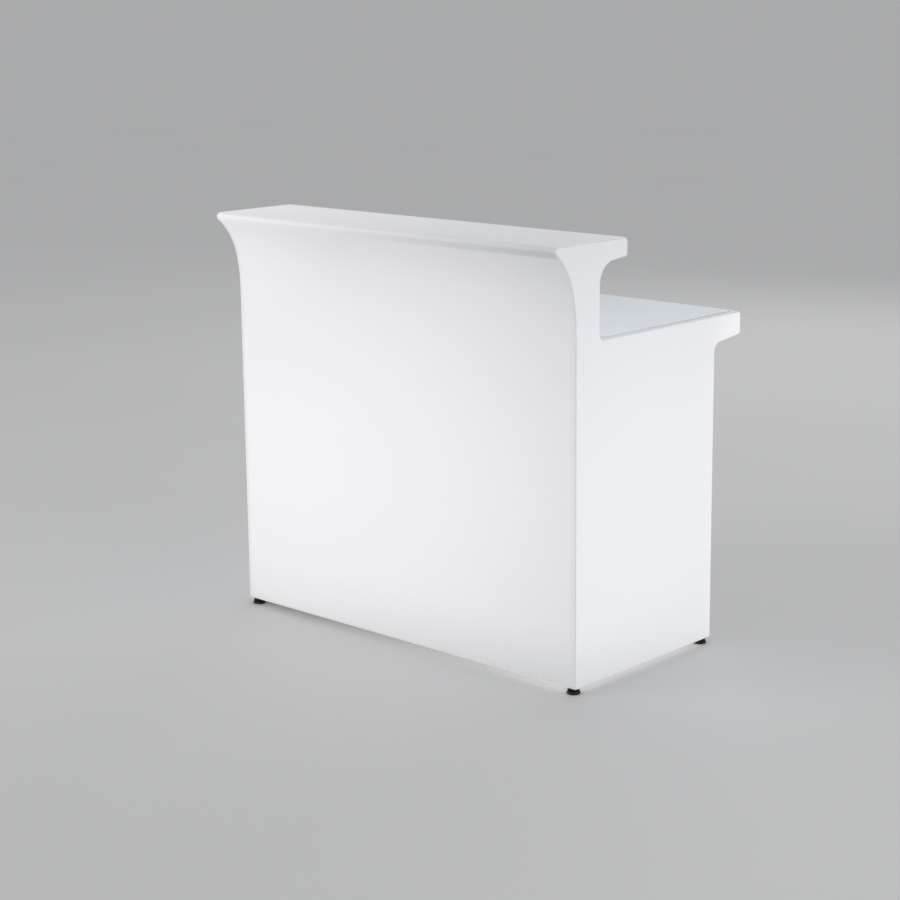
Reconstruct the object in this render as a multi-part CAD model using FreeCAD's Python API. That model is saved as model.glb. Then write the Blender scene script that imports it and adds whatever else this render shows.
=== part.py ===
import FreeCAD, Part
import math
import os

# Illuminated bar counter: one hollow moulded shell with a raised customer shelf, a worktop with
# an inset glass panel, a storage recess on the bartender's side, a light kit behind a service
# hatch, a power inlet in the plinth and four screw-adjusted feet.
#
# Millimetres. X runs along the counter, -Y is the customer's side, +Y the bartender's, +Z is up.
# The origin is on the floor, under the middle of the whole counter.

V = FreeCAD.Vector
ALONG_X = V(1, 0, 0)
ALONG_Y = V(0, 1, 0)
UP = V(0, 0, 1)

# Whole counter
counter_length = 1172.0      # at the foot of the shell
counter_depth = 749.0        # from the customer's lip to the bartender's lip
counter_height = 1100.0
floor_gap = 15.0             # clear height under the shell
shell_wall = 6.0
end_draft = 2.8              # each end leans in by this much at the top
end_round = 6.0              # radius along the edges of both ends
base_round = 9.0             # radius along the bottom edges, front and rear

# Customer's front: a leaning wall that flares out into the raised shelf
front_overhang = 82.1        # lip's tip beyond the foot of the front wall
front_lean = 5.3             # how far the wall leans out up to the flare
flare_height = 214.5         # from the start of the flare to the top
flare_middle_angle = 12.0    # degrees from upright where the two arcs of the flare meet
flare_end_angle = 51.3       # degrees from upright under the nose
nose_radius = 11.0

# Raised shelf
raised_depth = 272.1         # from the lip's tip to the rear edge
raised_edge = 46.5           # height of the rear edge
raised_top_round = 11.0
raised_bottom_round = 8.0
raised_underside_angle = 5.1 # degrees that the underside rises towards the edge
upstand_setback = 104.1      # from the rear edge in to the upstand
upstand_round = 65.0

# Worktop and the lip over the bartender's side
raised_rise = 235.0          # the raised shelf's top above the worktop
worktop_round = 16.0         # in the corner between upstand and worktop
rear_overhang = 106.5        # lip's tip beyond the foot of the rear wall
rear_lean = 5.3              # how far the rear wall leans in up to the lip
lip_edge = 60.0
lip_top_round = 11.0
lip_bottom_round = 9.0
lip_underside_angle = 6.8
rear_wall_round = 24.0

# Glass panel in the worktop
glass_thickness = 6.0
glass_corner = 30.0
glass_chamfer = 0.8
glass_end_margin = 12.0      # from the end of the shell
glass_front_margin = 21.0    # from the upstand
glass_rear_margin = 16.0     # from the lip's tip
glass_gap = 1.5              # between the glass and its pocket
pocket_depth = 4.5
glass_pad_radius = 7.0
glass_pad_thickness = 1.0
glass_pad_inset = 30.0       # of the outer pads from the edges of the glass
glass_pad_columns = 4
glass_pad_rows = 2

# Storage recess
column_width = 85.0          # shell left standing at each end of the recess
recess_floor_height = 112.0
recess_top_drop = 125.0      # the recess's ceiling under the worktop
recess_depth = 343.0         # from the foot of the rear wall
recess_corner = 35.0
recess_back_round = 20.0
mouth_round = 8.0
mouth_depth = 45.0           # full-width part of the recess before the ledges start
ledge_height = 424.0
ledge_width = 22.0

# Loose shelf on the ledges
shelf_thickness = 12.0
shelf_side_gap = 2.0
shelf_front_setback = 33.0   # from the foot of the rear wall
shelf_corner = 24.0
shelf_chamfer = 1.0
shelf_pad_radius = 8.0
shelf_pad_thickness = 1.5
shelf_pad_setback = 30.0     # of the side pads from the ends of the ledges
shelf_back_pad_share = 0.4   # of the recess's half width, for the pads at the back

# Service hatch in the back wall of the recess
hatch_side_margin = 110.0    # from the sides of the lower recess
hatch_edge_margin = 38.0     # from the recess's floor, and from the ledges
hatch_opening_corner = 12.0
hatch_overlap = 20.0
hatch_thickness = 4.0
hatch_chamfer = 1.0
gasket_thickness = 2.0
gasket_inner_gap = 2.0       # from the opening to the gasket
hatch_screw_columns = 4

# Button-head screws and the bushes that they go into
thread_gap = 0.05            # radial room between a screw and its thread
hole_gap = 0.25              # radial room of a through hole
screw_radius = 2.0
screw_length = 16.0
screw_head_radius = 3.8
screw_head_height = 2.2
screw_head_round = 1.2
screw_key_size = 2.5
screw_key_depth = 1.3
bush_radius = 3.4
bush_length = 12.0
boss_wall = 4.0
fit_gap = 0.05               # radial room around a bush in its boss

# Lamp tray behind the hatch
tray_end_gap = 20.0          # from the ends of the hatch's opening
tray_edge_gap = 23.0         # from its long edges
tray_sheet = 1.5
tray_flange = 12.0
spacer_length = 30.0
spacer_size = 8.0            # across flats
spacer_end_inset = 40.0      # from the ends of the tray
spacer_edge_inset = 18.0     # from the long edges of the tray
tray_screw_length = 8.0

# Lamps
tube_radius = 13.0
tube_spacing = 80.0
tube_standoff = 27.0         # tube's axis in front of the tray
tube_wall = 1.2
cap_length = 20.0
cap_gap = 0.3
pin_radius = 1.2
pin_length = 7.0
pin_spacing = 12.7
holder_width = 30.0
holder_thickness = 14.0
holder_face_gap = 0.5        # between a cap and its holder
holder_end_margin = 20.5     # from the ends of the tray

# Terminal block and wiring
block_length = 40.0
block_height = 20.0
block_depth = 16.0
block_ways = 3
block_chamfer = 1.5
terminal_screw_radius = 2.2
terminal_screw_height = 1.6
terminal_slot_width = 0.7
wire_radius = 1.3
wire_spacing = 6.0
wire_bend = 12.0
wire_clearance = 0.4         # over the floor of the shell
wire_drop_length = 36.0      # of the middle supply wire, from the inlet to its first bend

# Power inlet in the plinth
inlet_inset = 147.0          # from the end of the shell to the inlet's middle
seat_length = 72.0
seat_height = 58.0
seat_corner = 5.0
seat_depth = 5.0             # of the flat seat, from the foot of the rear wall
inlet_flange_length = 62.0
inlet_flange_height = 50.0
inlet_flange_thickness = 2.5
inlet_flange_corner = 4.0
inlet_body_length = 52.0
inlet_body_height = 28.0
inlet_body_depth = 30.0      # behind the flange
inlet_body_gap = 0.3
inlet_screw_spacing = 39.0
inlet_screw_length = 14.0
inlet_nut_size = 7.0         # across flats
inlet_nut_thickness = 2.4
socket_x = 13.2              # from the middle of the inlet
socket_width = 17.2
socket_height = 24.8
socket_chamfer = 5.0
socket_depth = 20.0
blade_width = 4.0
blade_thickness = 2.0
blade_spread = 7.0           # of the two outer blades from the middle one
blade_offset = 2.0           # of the outer blades and the middle one from the socket's axis
blade_reach = 14.0           # out of the socket's floor
blade_tail = 8.0             # behind the inlet

# Rocker switch
rocker_x = -17.2
rocker_width = 13.0
rocker_gap = 0.2
rocker_radius = 10.2
rocker_pocket_half = 10.7
rocker_pivot_depth = 4.0     # under the front of the flange
rocker_end_reach = 9.6
rocker_end_rise = 5.2
rocker_middle_rise = 3.0
rocker_tilt = 10.0           # degrees either way from level
rocker_pocket_depth = 16.0
trunnion_radius = 1.2
trunnion_length = 0.9

# Fuse drawer
drawer_x = -3.8
drawer_width = 8.0
drawer_height = 22.0
drawer_depth = 18.0
drawer_gap = 0.2
drawer_lip = 1.6
drawer_lip_height = 6.0
fuse_radius = 2.6
fuse_length = 20.0
fuse_gap = 0.15
fuse_cap_length = 5.0
fuse_waist = 0.3             # the glass is this much thinner than its caps
fuse_setback = 6.0           # from the front of the drawer to the fuse's axis

# Feet
foot_inset_x = 21.0          # from the end of the shell
foot_inset_y = 18.5          # from the front or the rear wall's foot
foot_radius = 18.0
foot_under_radius = 15.6
foot_widest_height = 3.6
foot_top_radius = 14.0
foot_top_height = 7.3
foot_rim_round = 1.0
foot_lift = 1.0              # the sole stands out of the foot by this much
sole_radius = 14.3
sole_thickness = 1.8
sole_chamfer = 0.5
stem_radius = 5.0
stem_top = 54.0
stem_head_radius = 8.0
stem_head_bottom = 2.8
stem_head_height = 2.6
stem_head_gap = 0.1
thumbwheel_radius = 15.0
thumbwheel_gap = 0.3         # over the foot, and under the lock ring
thumbwheel_flutes = 10
thumbwheel_flute_radius = 3.0
thumbwheel_flute_depth = 0.9
stem_chamfer = 1.0
lock_ring_radius = 14.6
lock_ring_height = 3.6
lock_ring_gap = 0.2          # between the lock ring and the bush above it
lock_ring_slots = 4
lock_ring_slot_width = 4.0
lock_ring_slot_depth = 1.5
foot_bush_radius = 9.0
foot_bush_length = 30.0
foot_bush_grooves = 2
foot_bush_groove = 1.0       # depth
foot_bush_groove_width = 4.0
foot_boss_radius = 18.0
foot_boss_height = 48.0
stem_bore_radius = 6.5
stem_bore_height = 42.0

# Cutting tools run past what they cut by this much
overrun = 10.0
same_place = 0.05            # two places closer than this are taken as one
longest_round_share = 0.48   # of the shorter side beside a corner that its round may use

half_length = counter_length / 2
worktop_height = counter_height - raised_rise
recess_top_height = worktop_height - recess_top_drop
front_tip_y = -counter_depth / 2
rear_tip_y = counter_depth / 2
front_foot_y = front_tip_y + front_overhang
rear_foot_y = rear_tip_y - rear_overhang
raised_edge_y = front_tip_y + raised_depth
upstand_y = raised_edge_y - upstand_setback
flare_start_z = counter_height - flare_height
flare_start_y = front_foot_y - front_lean
rear_wall_top_y = rear_foot_y - rear_lean


def side_view(u, v):
    """A point of an outline seen along the counter: u is Y and v is Z."""
    return V(0, u, v)


def rear_view(u, v):
    """A point of an outline seen from the bartender's side: u is X and v is Z."""
    return V(u, 0, v)


def plan(u, v):
    """A point of an outline seen from above."""
    return V(u, v, 0)


def corner(before, here, after, radius):
    """Start, middle and end of the arc that rounds one corner, limited by its shorter side."""
    back = before - here
    ahead = after - here
    shorter = min(back.Length, ahead.Length)
    back.normalize()
    ahead.normalize()
    half_angle = math.acos(max(-1, min(1, back.dot(ahead)))) / 2
    reach = min(radius / math.tan(half_angle), longest_round_share * shorter)
    rounded = reach * math.tan(half_angle)
    inward = back + ahead
    inward.normalize()
    middle = here + inward * (rounded / math.sin(half_angle) - rounded)
    return here + back * reach, middle, here + ahead * reach


def rounded_edges(points, view, closed):
    """Edges through points (u, v, radius), with a tangent arc at each corner that has a radius."""
    spots = [view(u, v) for u, v, radius in points]
    last = len(points) - 1
    stretches = []
    for i, (u, v, radius) in enumerate(points):
        if radius == 0 or (not closed and i in (0, last)):
            stretches.append((spots[i], None, spots[i]))
            continue
        stretches.append(corner(spots[i - 1], spots[i], spots[(i + 1) % len(spots)], radius))
    edges = []
    for i, (start, middle, end) in enumerate(stretches):
        if middle is not None:
            edges.append(Part.Arc(start, middle, end).toShape())
        if i < last or closed:
            edges.append(Part.makeLine(end, stretches[(i + 1) % len(stretches)][0]))
    return edges


def prism(points, view, start, depth):
    """A solid of the closed outline, moved by start and drawn out along depth."""
    face = Part.Face(Part.Wire(rounded_edges(points, view, True)))
    face.translate(start)
    return face.extrude(depth)


def rectangle(u_low, v_low, u_high, v_high, radius=0):
    """Corner points of a rectangle with one radius."""
    places = [(u_low, v_low), (u_high, v_low), (u_high, v_high), (u_low, v_high)]
    return [(u, v, radius) for u, v in places]


def block(x_low, y_low, z_low, x_high, y_high, z_high):
    """A plain box between two corners."""
    return Part.makeBox(x_high - x_low, y_high - y_low, z_high - z_low, V(x_low, y_low, z_low))


def hexagon(across_flats, height, base, direction=UP):
    """A hexagonal bar."""
    radius = across_flats / math.sqrt(3)
    turns = [math.radians(60 * i) for i in range(6)]
    ring = [(radius * math.cos(turn), radius * math.sin(turn), 0) for turn in turns]
    bar = prism(ring, plan, V(0, 0, 0), UP * height)
    return placed(bar, base, direction)


def placed(shape, base, direction):
    """A shape that was made upwards from the origin, turned along a direction and moved to a base."""
    turned = shape.copy()
    turned.Placement = FreeCAD.Placement(base, FreeCAD.Rotation(UP, direction))
    return turned


def edges_where(shape, wanted):
    """The edges whose bounding box passes a test."""
    return [edge for edge in shape.Edges if wanted(edge.BoundBox)]


def near(value, target):
    """Whether two places are the same but for rounding."""
    return abs(value - target) < same_place


def write(node, solids):
    """One STEP file per node. A node of several like pieces holds them as separate solids."""
    shape = solids[0] if len(solids) == 1 else Part.makeCompound(solids)
    shape.exportStep(f"parts/{node}.step")
    volume = sum(solid.Volume for solid in solids)
    print(f"{node}: {len(solids)} solid(s), {volume / 1000:.1f} cm3, valid {shape.isValid()}")


# Shell

def flare_edges():
    """The front's two tangent arcs out to the lip, and the nose's arc up to the top face."""
    lean = math.atan2(front_lean, flare_start_z - floor_gap)
    middle = math.radians(flare_middle_angle)
    end = math.radians(flare_end_angle)
    nose = V(0, front_tip_y + nose_radius, counter_height - nose_radius)
    under_nose = nose - V(0, math.cos(end), math.sin(end)) * nose_radius
    out = flare_start_y - under_nose.y
    rise = under_nose.z - flare_start_z
    # The two radii that bring both arcs to the nose: out and rise are linear in them.
    low_out = math.cos(lean) - math.cos(middle)
    high_out = math.cos(middle) - math.cos(end)
    low_rise = math.sin(middle) - math.sin(lean)
    high_rise = math.sin(end) - math.sin(middle)
    spread = low_out * high_rise - high_out * low_rise
    low_radius = (out * high_rise - high_out * rise) / spread
    high_radius = (low_out * rise - out * low_rise) / spread

    def along(start, radius, first, last):
        """Start, middle and end of an arc that turns outwards from one angle to another."""
        turns = (first, (first + last) / 2, last)
        steps = [V(0, math.cos(t) - math.cos(first), math.sin(t) - math.sin(first)) for t in turns]
        return [start + step * radius for step in steps]

    low = along(V(0, flare_start_y, flare_start_z), low_radius, lean, middle)
    high = along(low[-1], high_radius, middle, end)
    half_nose = (math.pi / 2 - end) / 2
    nose_middle = nose + V(0, -math.cos(half_nose), math.sin(half_nose)) * nose_radius
    nose_top = nose + UP * nose_radius
    arcs = [low, high, [high[-1], nose_middle, nose_top]]
    return [Part.Arc(*points).toShape() for points in arcs]


def shell_profile():
    """The outline of the whole counter, seen along its length."""
    underside_fall = upstand_setback * math.tan(math.radians(raised_underside_angle))
    upstand_top_z = counter_height - raised_edge - underside_fall
    lip_bottom_z = worktop_height - lip_edge
    lip_reach = rear_tip_y - rear_wall_top_y
    wall_top_z = lip_bottom_z - lip_reach * math.tan(math.radians(lip_underside_angle))
    run = [
        (front_tip_y + nose_radius, counter_height, 0),
        (raised_edge_y, counter_height, raised_top_round),
        (raised_edge_y, counter_height - raised_edge, raised_bottom_round),
        (upstand_y, upstand_top_z, upstand_round),
        (upstand_y, worktop_height, worktop_round),
        (rear_tip_y, worktop_height, lip_top_round),
        (rear_tip_y, lip_bottom_z, lip_bottom_round),
        (rear_wall_top_y, wall_top_z, rear_wall_round),
        (rear_foot_y, floor_gap, base_round),
        (front_foot_y, floor_gap, base_round),
        (flare_start_y, flare_start_z, 0),
    ]
    return Part.Face(Part.Wire(rounded_edges(run, side_view, False) + flare_edges()))


def between_ends(inset):
    """Everything between the two leaning ends, brought in by inset."""
    low = half_length - inset
    high = low - end_draft
    ends = [
        (-low, floor_gap, 0),
        (low, floor_gap, 0),
        (high, counter_height, 0),
        (-high, counter_height, 0),
    ]
    return prism(ends, rear_view, V(0, front_tip_y, 0), ALONG_Y * counter_depth)


def outer_form():
    """The counter as if it were solid, with rounded ends and no recess."""
    bar = shell_profile().extrude(ALONG_X * counter_length)
    bar.translate(-ALONG_X * half_length)
    form = bar.common(between_ends(0)).Solids[0]
    innermost = half_length - end_draft - same_place
    rims = edges_where(form, lambda box: box.XMin > innermost or box.XMax < -innermost)
    return form.makeFillet(end_round, rims)


def recess_tool(grow):
    """The storage recess. With grow it is the room that the recess and its wall take up."""
    side = half_length - column_width + grow
    step_side = side - ledge_width
    low = recess_floor_height - grow
    high = recess_top_height + grow
    ledge = ledge_height - grow
    back = rear_foot_y - recess_depth - grow
    step_back = back + ledge_width
    mouth = rear_foot_y - mouth_depth - grow
    past = rear_foot_y + overrun
    radius = recess_corner + grow
    back_round = recess_back_round + grow
    upper_outline = [(-side, ledge, 0), (side, ledge, 0), (side, high, radius), (-side, high, radius)]
    upper = prism(upper_outline, rear_view, ALONG_Y * back, ALONG_Y * (past - back))
    rim = edges_where(upper, lambda box: near(box.YMax, back) and not near(box.ZMax, ledge))
    upper = upper.makeFillet(back_round, rim)
    lower_outline = [
        (-step_side, low, radius),
        (step_side, low, radius),
        (step_side, ledge, 0),
        (-step_side, ledge, 0),
    ]
    lower = prism(lower_outline, rear_view, ALONG_Y * step_back, ALONG_Y * (past - step_back))
    rim = edges_where(lower, lambda box: near(box.YMax, step_back) and not near(box.ZMin, ledge))
    lower = lower.makeFillet(back_round, rim)
    outline = rectangle(-side, low, side, high, radius)
    opening = prism(outline, rear_view, ALONG_Y * mouth, ALONG_Y * (past - mouth))
    return upper.fuse([lower, opening]).removeSplitter()


def glass_outline(grow):
    """Plan of the glass, or of its pocket."""
    end = half_length - end_draft * (worktop_height - floor_gap) / (counter_height - floor_gap)
    side = end - glass_end_margin + grow
    front = upstand_y + glass_front_margin - grow
    rear = rear_tip_y - glass_rear_margin + grow
    return rectangle(-side, front, side, rear, glass_corner + grow)


def pocket_tool(grow):
    """The pocket that holds the glass. With grow it is the pocket and the wall around it."""
    outline = glass_outline(glass_gap + grow)
    depth = pocket_depth + grow
    return prism(outline, plan, UP * (worktop_height - depth), UP * (depth + overrun))


def inlet_seat(grow):
    """The flat seat moulded into the plinth for the power inlet."""
    side = seat_length / 2 + grow
    half = seat_height / 2 + grow
    floor_y = rear_foot_y - seat_depth - grow
    outline = rectangle(inlet_x - side, inlet_z - half, inlet_x + side, inlet_z + half, seat_corner + grow)
    return prism(outline, rear_view, ALONG_Y * floor_y, ALONG_Y * (seat_depth + grow + overrun))


inlet_x = inlet_inset - half_length
inlet_z = (floor_gap + recess_floor_height) / 2
seat_y = rear_foot_y - seat_depth
hatch_z = (recess_floor_height + ledge_height) / 2
hatch_seat_y = rear_foot_y - recess_depth + ledge_width
hatch_inner_y = hatch_seat_y - shell_wall
hatch_length = 2 * (half_length - column_width - ledge_width - hatch_side_margin)
hatch_height = ledge_height - recess_floor_height - 2 * hatch_edge_margin
hatch_opening_length = hatch_length - 2 * hatch_overlap
hatch_opening_height = hatch_height - 2 * hatch_overlap
tray_length = hatch_opening_length - 2 * tray_end_gap
tray_height = hatch_opening_height - 2 * tray_edge_gap


def hatch_screw_places():
    """Middles of the hatch screws: evenly along both long edges, and one at each end."""
    side = (hatch_length - hatch_overlap) / 2
    half = (hatch_height - hatch_overlap) / 2
    places = [(-side, hatch_z), (side, hatch_z)]
    for i in range(hatch_screw_columns):
        x = side * (2 * i / (hatch_screw_columns - 1) - 1)
        places += [(x, hatch_z - half), (x, hatch_z + half)]
    return places


def foot_places():
    """Name and middle of each foot. Left and right are as the customer sees them."""
    x = half_length - foot_inset_x
    front = front_foot_y + foot_inset_y
    rear = rear_foot_y - foot_inset_y
    return {
        "front_left": (-x, front),
        "front_right": (x, front),
        "rear_left": (-x, rear),
        "rear_right": (x, rear),
    }


def bosses():
    """Thickened places of the shell that hold the threaded bushes of the hatch and the feet."""
    reach = bush_length + boss_wall - shell_wall
    around = [
        Part.makeCylinder(bush_radius + boss_wall, reach + shell_wall, V(x, hatch_seat_y, z), -ALONG_Y)
        for x, z in hatch_screw_places()
    ]
    for x, y in foot_places().values():
        around.append(Part.makeCylinder(foot_boss_radius, foot_boss_height, V(x, y, floor_gap)))
    return around


def cavity():
    """The hollow between the outer walls and those of the recess, the pocket, the seat and the bosses."""
    inner = shell_profile().makeOffset2D(-shell_wall)
    room = inner.extrude(ALONG_X * counter_length)
    room.translate(-ALONG_X * half_length)
    room = room.common(between_ends(shell_wall))
    walls = [recess_tool(shell_wall), pocket_tool(shell_wall), inlet_seat(shell_wall)]
    return room.cut(walls + bosses())


def shell_openings():
    """Every hole in the shell: hatch, hatch bushes, foot bushes with the stems' bores, and inlet."""
    tools = []
    side = hatch_opening_length / 2
    half = hatch_opening_height / 2
    outline = rectangle(-side, hatch_z - half, side, hatch_z + half, hatch_opening_corner)
    through = ALONG_Y * (shell_wall + 2 * overrun)
    tools.append(prism(outline, rear_view, ALONG_Y * (hatch_inner_y - overrun), through))
    for x, z in hatch_screw_places():
        at = V(x, hatch_seat_y, z)
        tools.append(Part.makeCylinder(bush_radius + fit_gap, bush_length, at, -ALONG_Y))
    for x, y in foot_places().values():
        tools.append(Part.makeCylinder(foot_bush_radius + fit_gap, foot_bush_length, V(x, y, floor_gap)))
        tools.append(Part.makeCylinder(stem_bore_radius, stem_bore_height, V(x, y, floor_gap)))
    side = inlet_body_length / 2 + inlet_body_gap
    half = inlet_body_height / 2 + inlet_body_gap
    outline = rectangle(inlet_x - side, inlet_z - half, inlet_x + side, inlet_z + half)
    tools.append(prism(outline, rear_view, ALONG_Y * (seat_y - shell_wall - overrun), through))
    for z in inlet_screw_heights():
        at = V(inlet_x, seat_y, z)
        tools.append(Part.makeCylinder(screw_radius + hole_gap, shell_wall + overrun, at, -ALONG_Y))
    return tools


def body_shell():
    """The moulded shell."""
    form = outer_form().cut([recess_tool(0), pocket_tool(0), inlet_seat(0)])
    side = half_length - column_width
    rim_low = rear_foot_y - rear_lean - same_place
    on_mouth = edges_where(
        form,
        lambda box: box.YMin > rim_low
        and box.YMax < rear_foot_y + same_place
        and box.ZMin > recess_floor_height - same_place
        and box.ZMax < recess_top_height + same_place
        and box.XMin > -side - same_place
        and box.XMax < side + same_place,
    )
    form = form.makeFillet(mouth_round, on_mouth)
    return form.cut([cavity()] + shell_openings()).Solids


# Glass panel and its pads

def worktop_glass():
    """The glass panel, with a small chamfer on every edge of its two faces."""
    bottom = worktop_height - pocket_depth + glass_pad_thickness
    panel = prism(glass_outline(0), plan, UP * bottom, UP * glass_thickness)
    flat_edges = edges_where(panel, lambda box: near(box.ZMin, box.ZMax))
    return [panel.makeChamfer(glass_chamfer, flat_edges)]


def glass_pads():
    """Clear discs on the floor of the pocket, in even rows."""
    low, _, high, _ = glass_outline(-glass_pad_inset)
    pads = []
    for column in range(glass_pad_columns):
        for row in range(glass_pad_rows):
            x = low[0] + (high[0] - low[0]) * column / (glass_pad_columns - 1)
            y = low[1] + (high[1] - low[1]) * row / (glass_pad_rows - 1)
            at = V(x, y, worktop_height - pocket_depth)
            pads.append(Part.makeCylinder(glass_pad_radius, glass_pad_thickness, at))
    return pads


# Loose shelf and its pads

def storage_shelf():
    """The laminate shelf that lies on the ledges of the recess."""
    side = half_length - column_width - shelf_side_gap
    back = rear_foot_y - recess_depth + shelf_side_gap
    front = rear_foot_y - shelf_front_setback
    outline = [
        (-side, back, shelf_corner),
        (side, back, shelf_corner),
        (side, front, 0),
        (-side, front, 0),
    ]
    board = prism(outline, plan, UP * (ledge_height + shelf_pad_thickness), UP * shelf_thickness)
    flat_edges = edges_where(board, lambda box: near(box.ZMin, box.ZMax))
    return [board.makeChamfer(shelf_chamfer, flat_edges)]


def shelf_pads():
    """Discs on the side ledges, two to a side, and two on the back ledge."""
    side = half_length - column_width
    back = rear_foot_y - recess_depth
    places = []
    for way in (-1, 1):
        places.append((way * (side - ledge_width / 2), back + ledge_width + shelf_pad_setback))
        places.append((way * (side - ledge_width / 2), rear_foot_y - mouth_depth - shelf_pad_setback))
        places.append((way * side * shelf_back_pad_share, back + ledge_width / 2))
    return [
        Part.makeCylinder(shelf_pad_radius, shelf_pad_thickness, V(x, y, ledge_height))
        for x, y in places
    ]


# Screws, bushes and the hatch

def button_screw(length, base, direction):
    """A button-head screw. Base is under the head, and direction points out of the head."""
    head = Part.makeCylinder(screw_head_radius, screw_head_height)
    rim = edges_where(head, lambda box: near(box.ZMin, screw_head_height))
    head = head.makeFillet(screw_head_round, rim)
    key = hexagon(screw_key_size, screw_key_depth + overrun, UP * (screw_head_height - screw_key_depth))
    shank = Part.makeCylinder(screw_radius, length, V(0, 0, -length))
    return placed(head.cut(key).fuse(shank).removeSplitter().Solids[0], base, direction)


def ring_bush(radius, bore, length, base, direction):
    """A plain threaded bush."""
    tube = Part.makeCylinder(radius, length).cut(Part.makeCylinder(bore, length))
    return placed(tube.Solids[0], base, direction)


def screw_holes(radius, low_y, high_y):
    """Drills through the hatch and its gasket."""
    return [
        Part.makeCylinder(radius, high_y - low_y, V(x, low_y, z), ALONG_Y)
        for x, z in hatch_screw_places()
    ]


def hatch_outline():
    """The outline of the hatch and of its gasket."""
    side = hatch_length / 2
    half = hatch_height / 2
    return rectangle(-side, hatch_z - half, side, hatch_z + half, hatch_opening_corner + hatch_overlap)


def hatch_gasket():
    """Foam frame between the shell and the hatch."""
    inner_side = hatch_opening_length / 2 + gasket_inner_gap
    inner_half = hatch_opening_height / 2 + gasket_inner_gap
    start = ALONG_Y * hatch_seat_y
    depth = ALONG_Y * gasket_thickness
    low = hatch_z - inner_half
    high = hatch_z + inner_half
    outer = prism(hatch_outline(), rear_view, start, depth)
    inner_outline = rectangle(-inner_side, low, inner_side, high, hatch_opening_corner)
    inner = prism(inner_outline, rear_view, start, depth)
    holes = screw_holes(screw_radius + hole_gap, hatch_seat_y, hatch_seat_y + gasket_thickness)
    return outer.cut([inner] + holes).Solids


hatch_back_y = hatch_seat_y + gasket_thickness
hatch_front_y = hatch_back_y + hatch_thickness


def spacer_places():
    """Middles of the four pillars between the hatch and the lamp tray."""
    x = tray_length / 2 - spacer_end_inset
    z = tray_height / 2 - spacer_edge_inset
    return [(-x, hatch_z - z), (x, hatch_z - z), (-x, hatch_z + z), (x, hatch_z + z)]


def hatch_panel():
    """The service hatch, with holes for its own screws and for those of the pillars."""
    panel = prism(hatch_outline(), rear_view, ALONG_Y * hatch_back_y, ALONG_Y * hatch_thickness)
    panel = panel.makeChamfer(hatch_chamfer, edges_where(panel, lambda box: near(box.YMin, hatch_front_y)))
    holes = screw_holes(screw_radius + hole_gap, hatch_back_y, hatch_front_y)
    holes += [
        Part.makeCylinder(screw_radius + hole_gap, hatch_thickness, V(x, hatch_back_y, z), ALONG_Y)
        for x, z in spacer_places()
    ]
    return panel.cut(holes).Solids


def hatch_screws():
    """Screws through the hatch: ten into the shell's bushes and four into the pillars."""
    heads = hatch_screw_places()
    long_ones = [button_screw(screw_length, V(x, hatch_front_y, z), ALONG_Y) for x, z in heads]
    short = hatch_thickness + tray_screw_length
    return long_ones + [button_screw(short, V(x, hatch_front_y, z), ALONG_Y) for x, z in spacer_places()]


def hatch_inserts():
    """Threaded bushes moulded into the shell around the hatch."""
    bore = screw_radius + thread_gap
    return [
        ring_bush(bush_radius, bore, bush_length, V(x, hatch_seat_y, z), -ALONG_Y)
        for x, z in hatch_screw_places()
    ]


# Lamp tray with its pillars

tray_back_y = hatch_back_y - spacer_length
tray_front_y = tray_back_y - tray_sheet


def tray_spacers():
    """Hexagonal pillars, tapped right through."""
    pillars = []
    for x, z in spacer_places():
        pillar = hexagon(spacer_size, spacer_length, V(x, hatch_back_y, z), -ALONG_Y)
        tap = Part.makeCylinder(screw_radius + thread_gap, spacer_length, V(x, hatch_back_y, z), -ALONG_Y)
        pillars += pillar.cut(tap).Solids
    return pillars


def gear_tray():
    """A sheet channel: a flat base with both long edges folded towards the lamps."""
    side = tray_length / 2
    low = hatch_z - tray_height / 2
    high = hatch_z + tray_height / 2
    base = block(-side, tray_front_y, low, side, tray_back_y, high)
    bottom = block(-side, tray_front_y - tray_flange, low, side, tray_front_y, low + tray_sheet)
    top = block(-side, tray_front_y - tray_flange, high - tray_sheet, side, tray_front_y, high)
    holes = [
        Part.makeCylinder(screw_radius + hole_gap, tray_sheet, V(x, tray_front_y, z), ALONG_Y)
        for x, z in spacer_places()
    ]
    channel = base.fuse([bottom, top]).removeSplitter()
    return channel.cut(holes).Solids


def tray_screws():
    """Screws that hold the tray on its pillars."""
    return [button_screw(tray_screw_length, V(x, tray_front_y, z), -ALONG_Y) for x, z in spacer_places()]


# Lamps

tube_y = tray_front_y - tube_standoff
tube_heights = (hatch_z - tube_spacing / 2, hatch_z + tube_spacing / 2)
holder_inner_x = tray_length / 2 - holder_end_margin - holder_thickness
tube_length = 2 * (holder_inner_x - holder_face_gap)


def lamp_tubes():
    """The diffuser tubes, open at both ends where the caps go in."""
    tubes = []
    for z in tube_heights:
        start = V(-tube_length / 2 + cap_length, tube_y, z)
        length = tube_length - 2 * cap_length
        outer = Part.makeCylinder(tube_radius, length, start, ALONG_X)
        inner = Part.makeCylinder(tube_radius - tube_wall, length, start, ALONG_X)
        tubes += outer.cut(inner).Solids
    return tubes


def lamp_caps():
    """Metal caps that close the tubes, each with two pins."""
    caps = []
    for z in tube_heights:
        for way in (-1, 1):
            outward = ALONG_X * way
            face = V(way * tube_length / 2, tube_y, z)
            cap = Part.makeCylinder(tube_radius, cap_length, face, -outward)
            inside = face - outward * cap_length
            plug = Part.makeCylinder(tube_radius - tube_wall - cap_gap, cap_length / 2, inside, -outward)
            pins = [
                Part.makeCylinder(pin_radius, pin_length, face + UP * (pin_spacing / 2 * side), outward)
                for side in (-1, 1)
            ]
            caps += cap.fuse([plug] + pins).removeSplitter().Solids
    return caps


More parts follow.
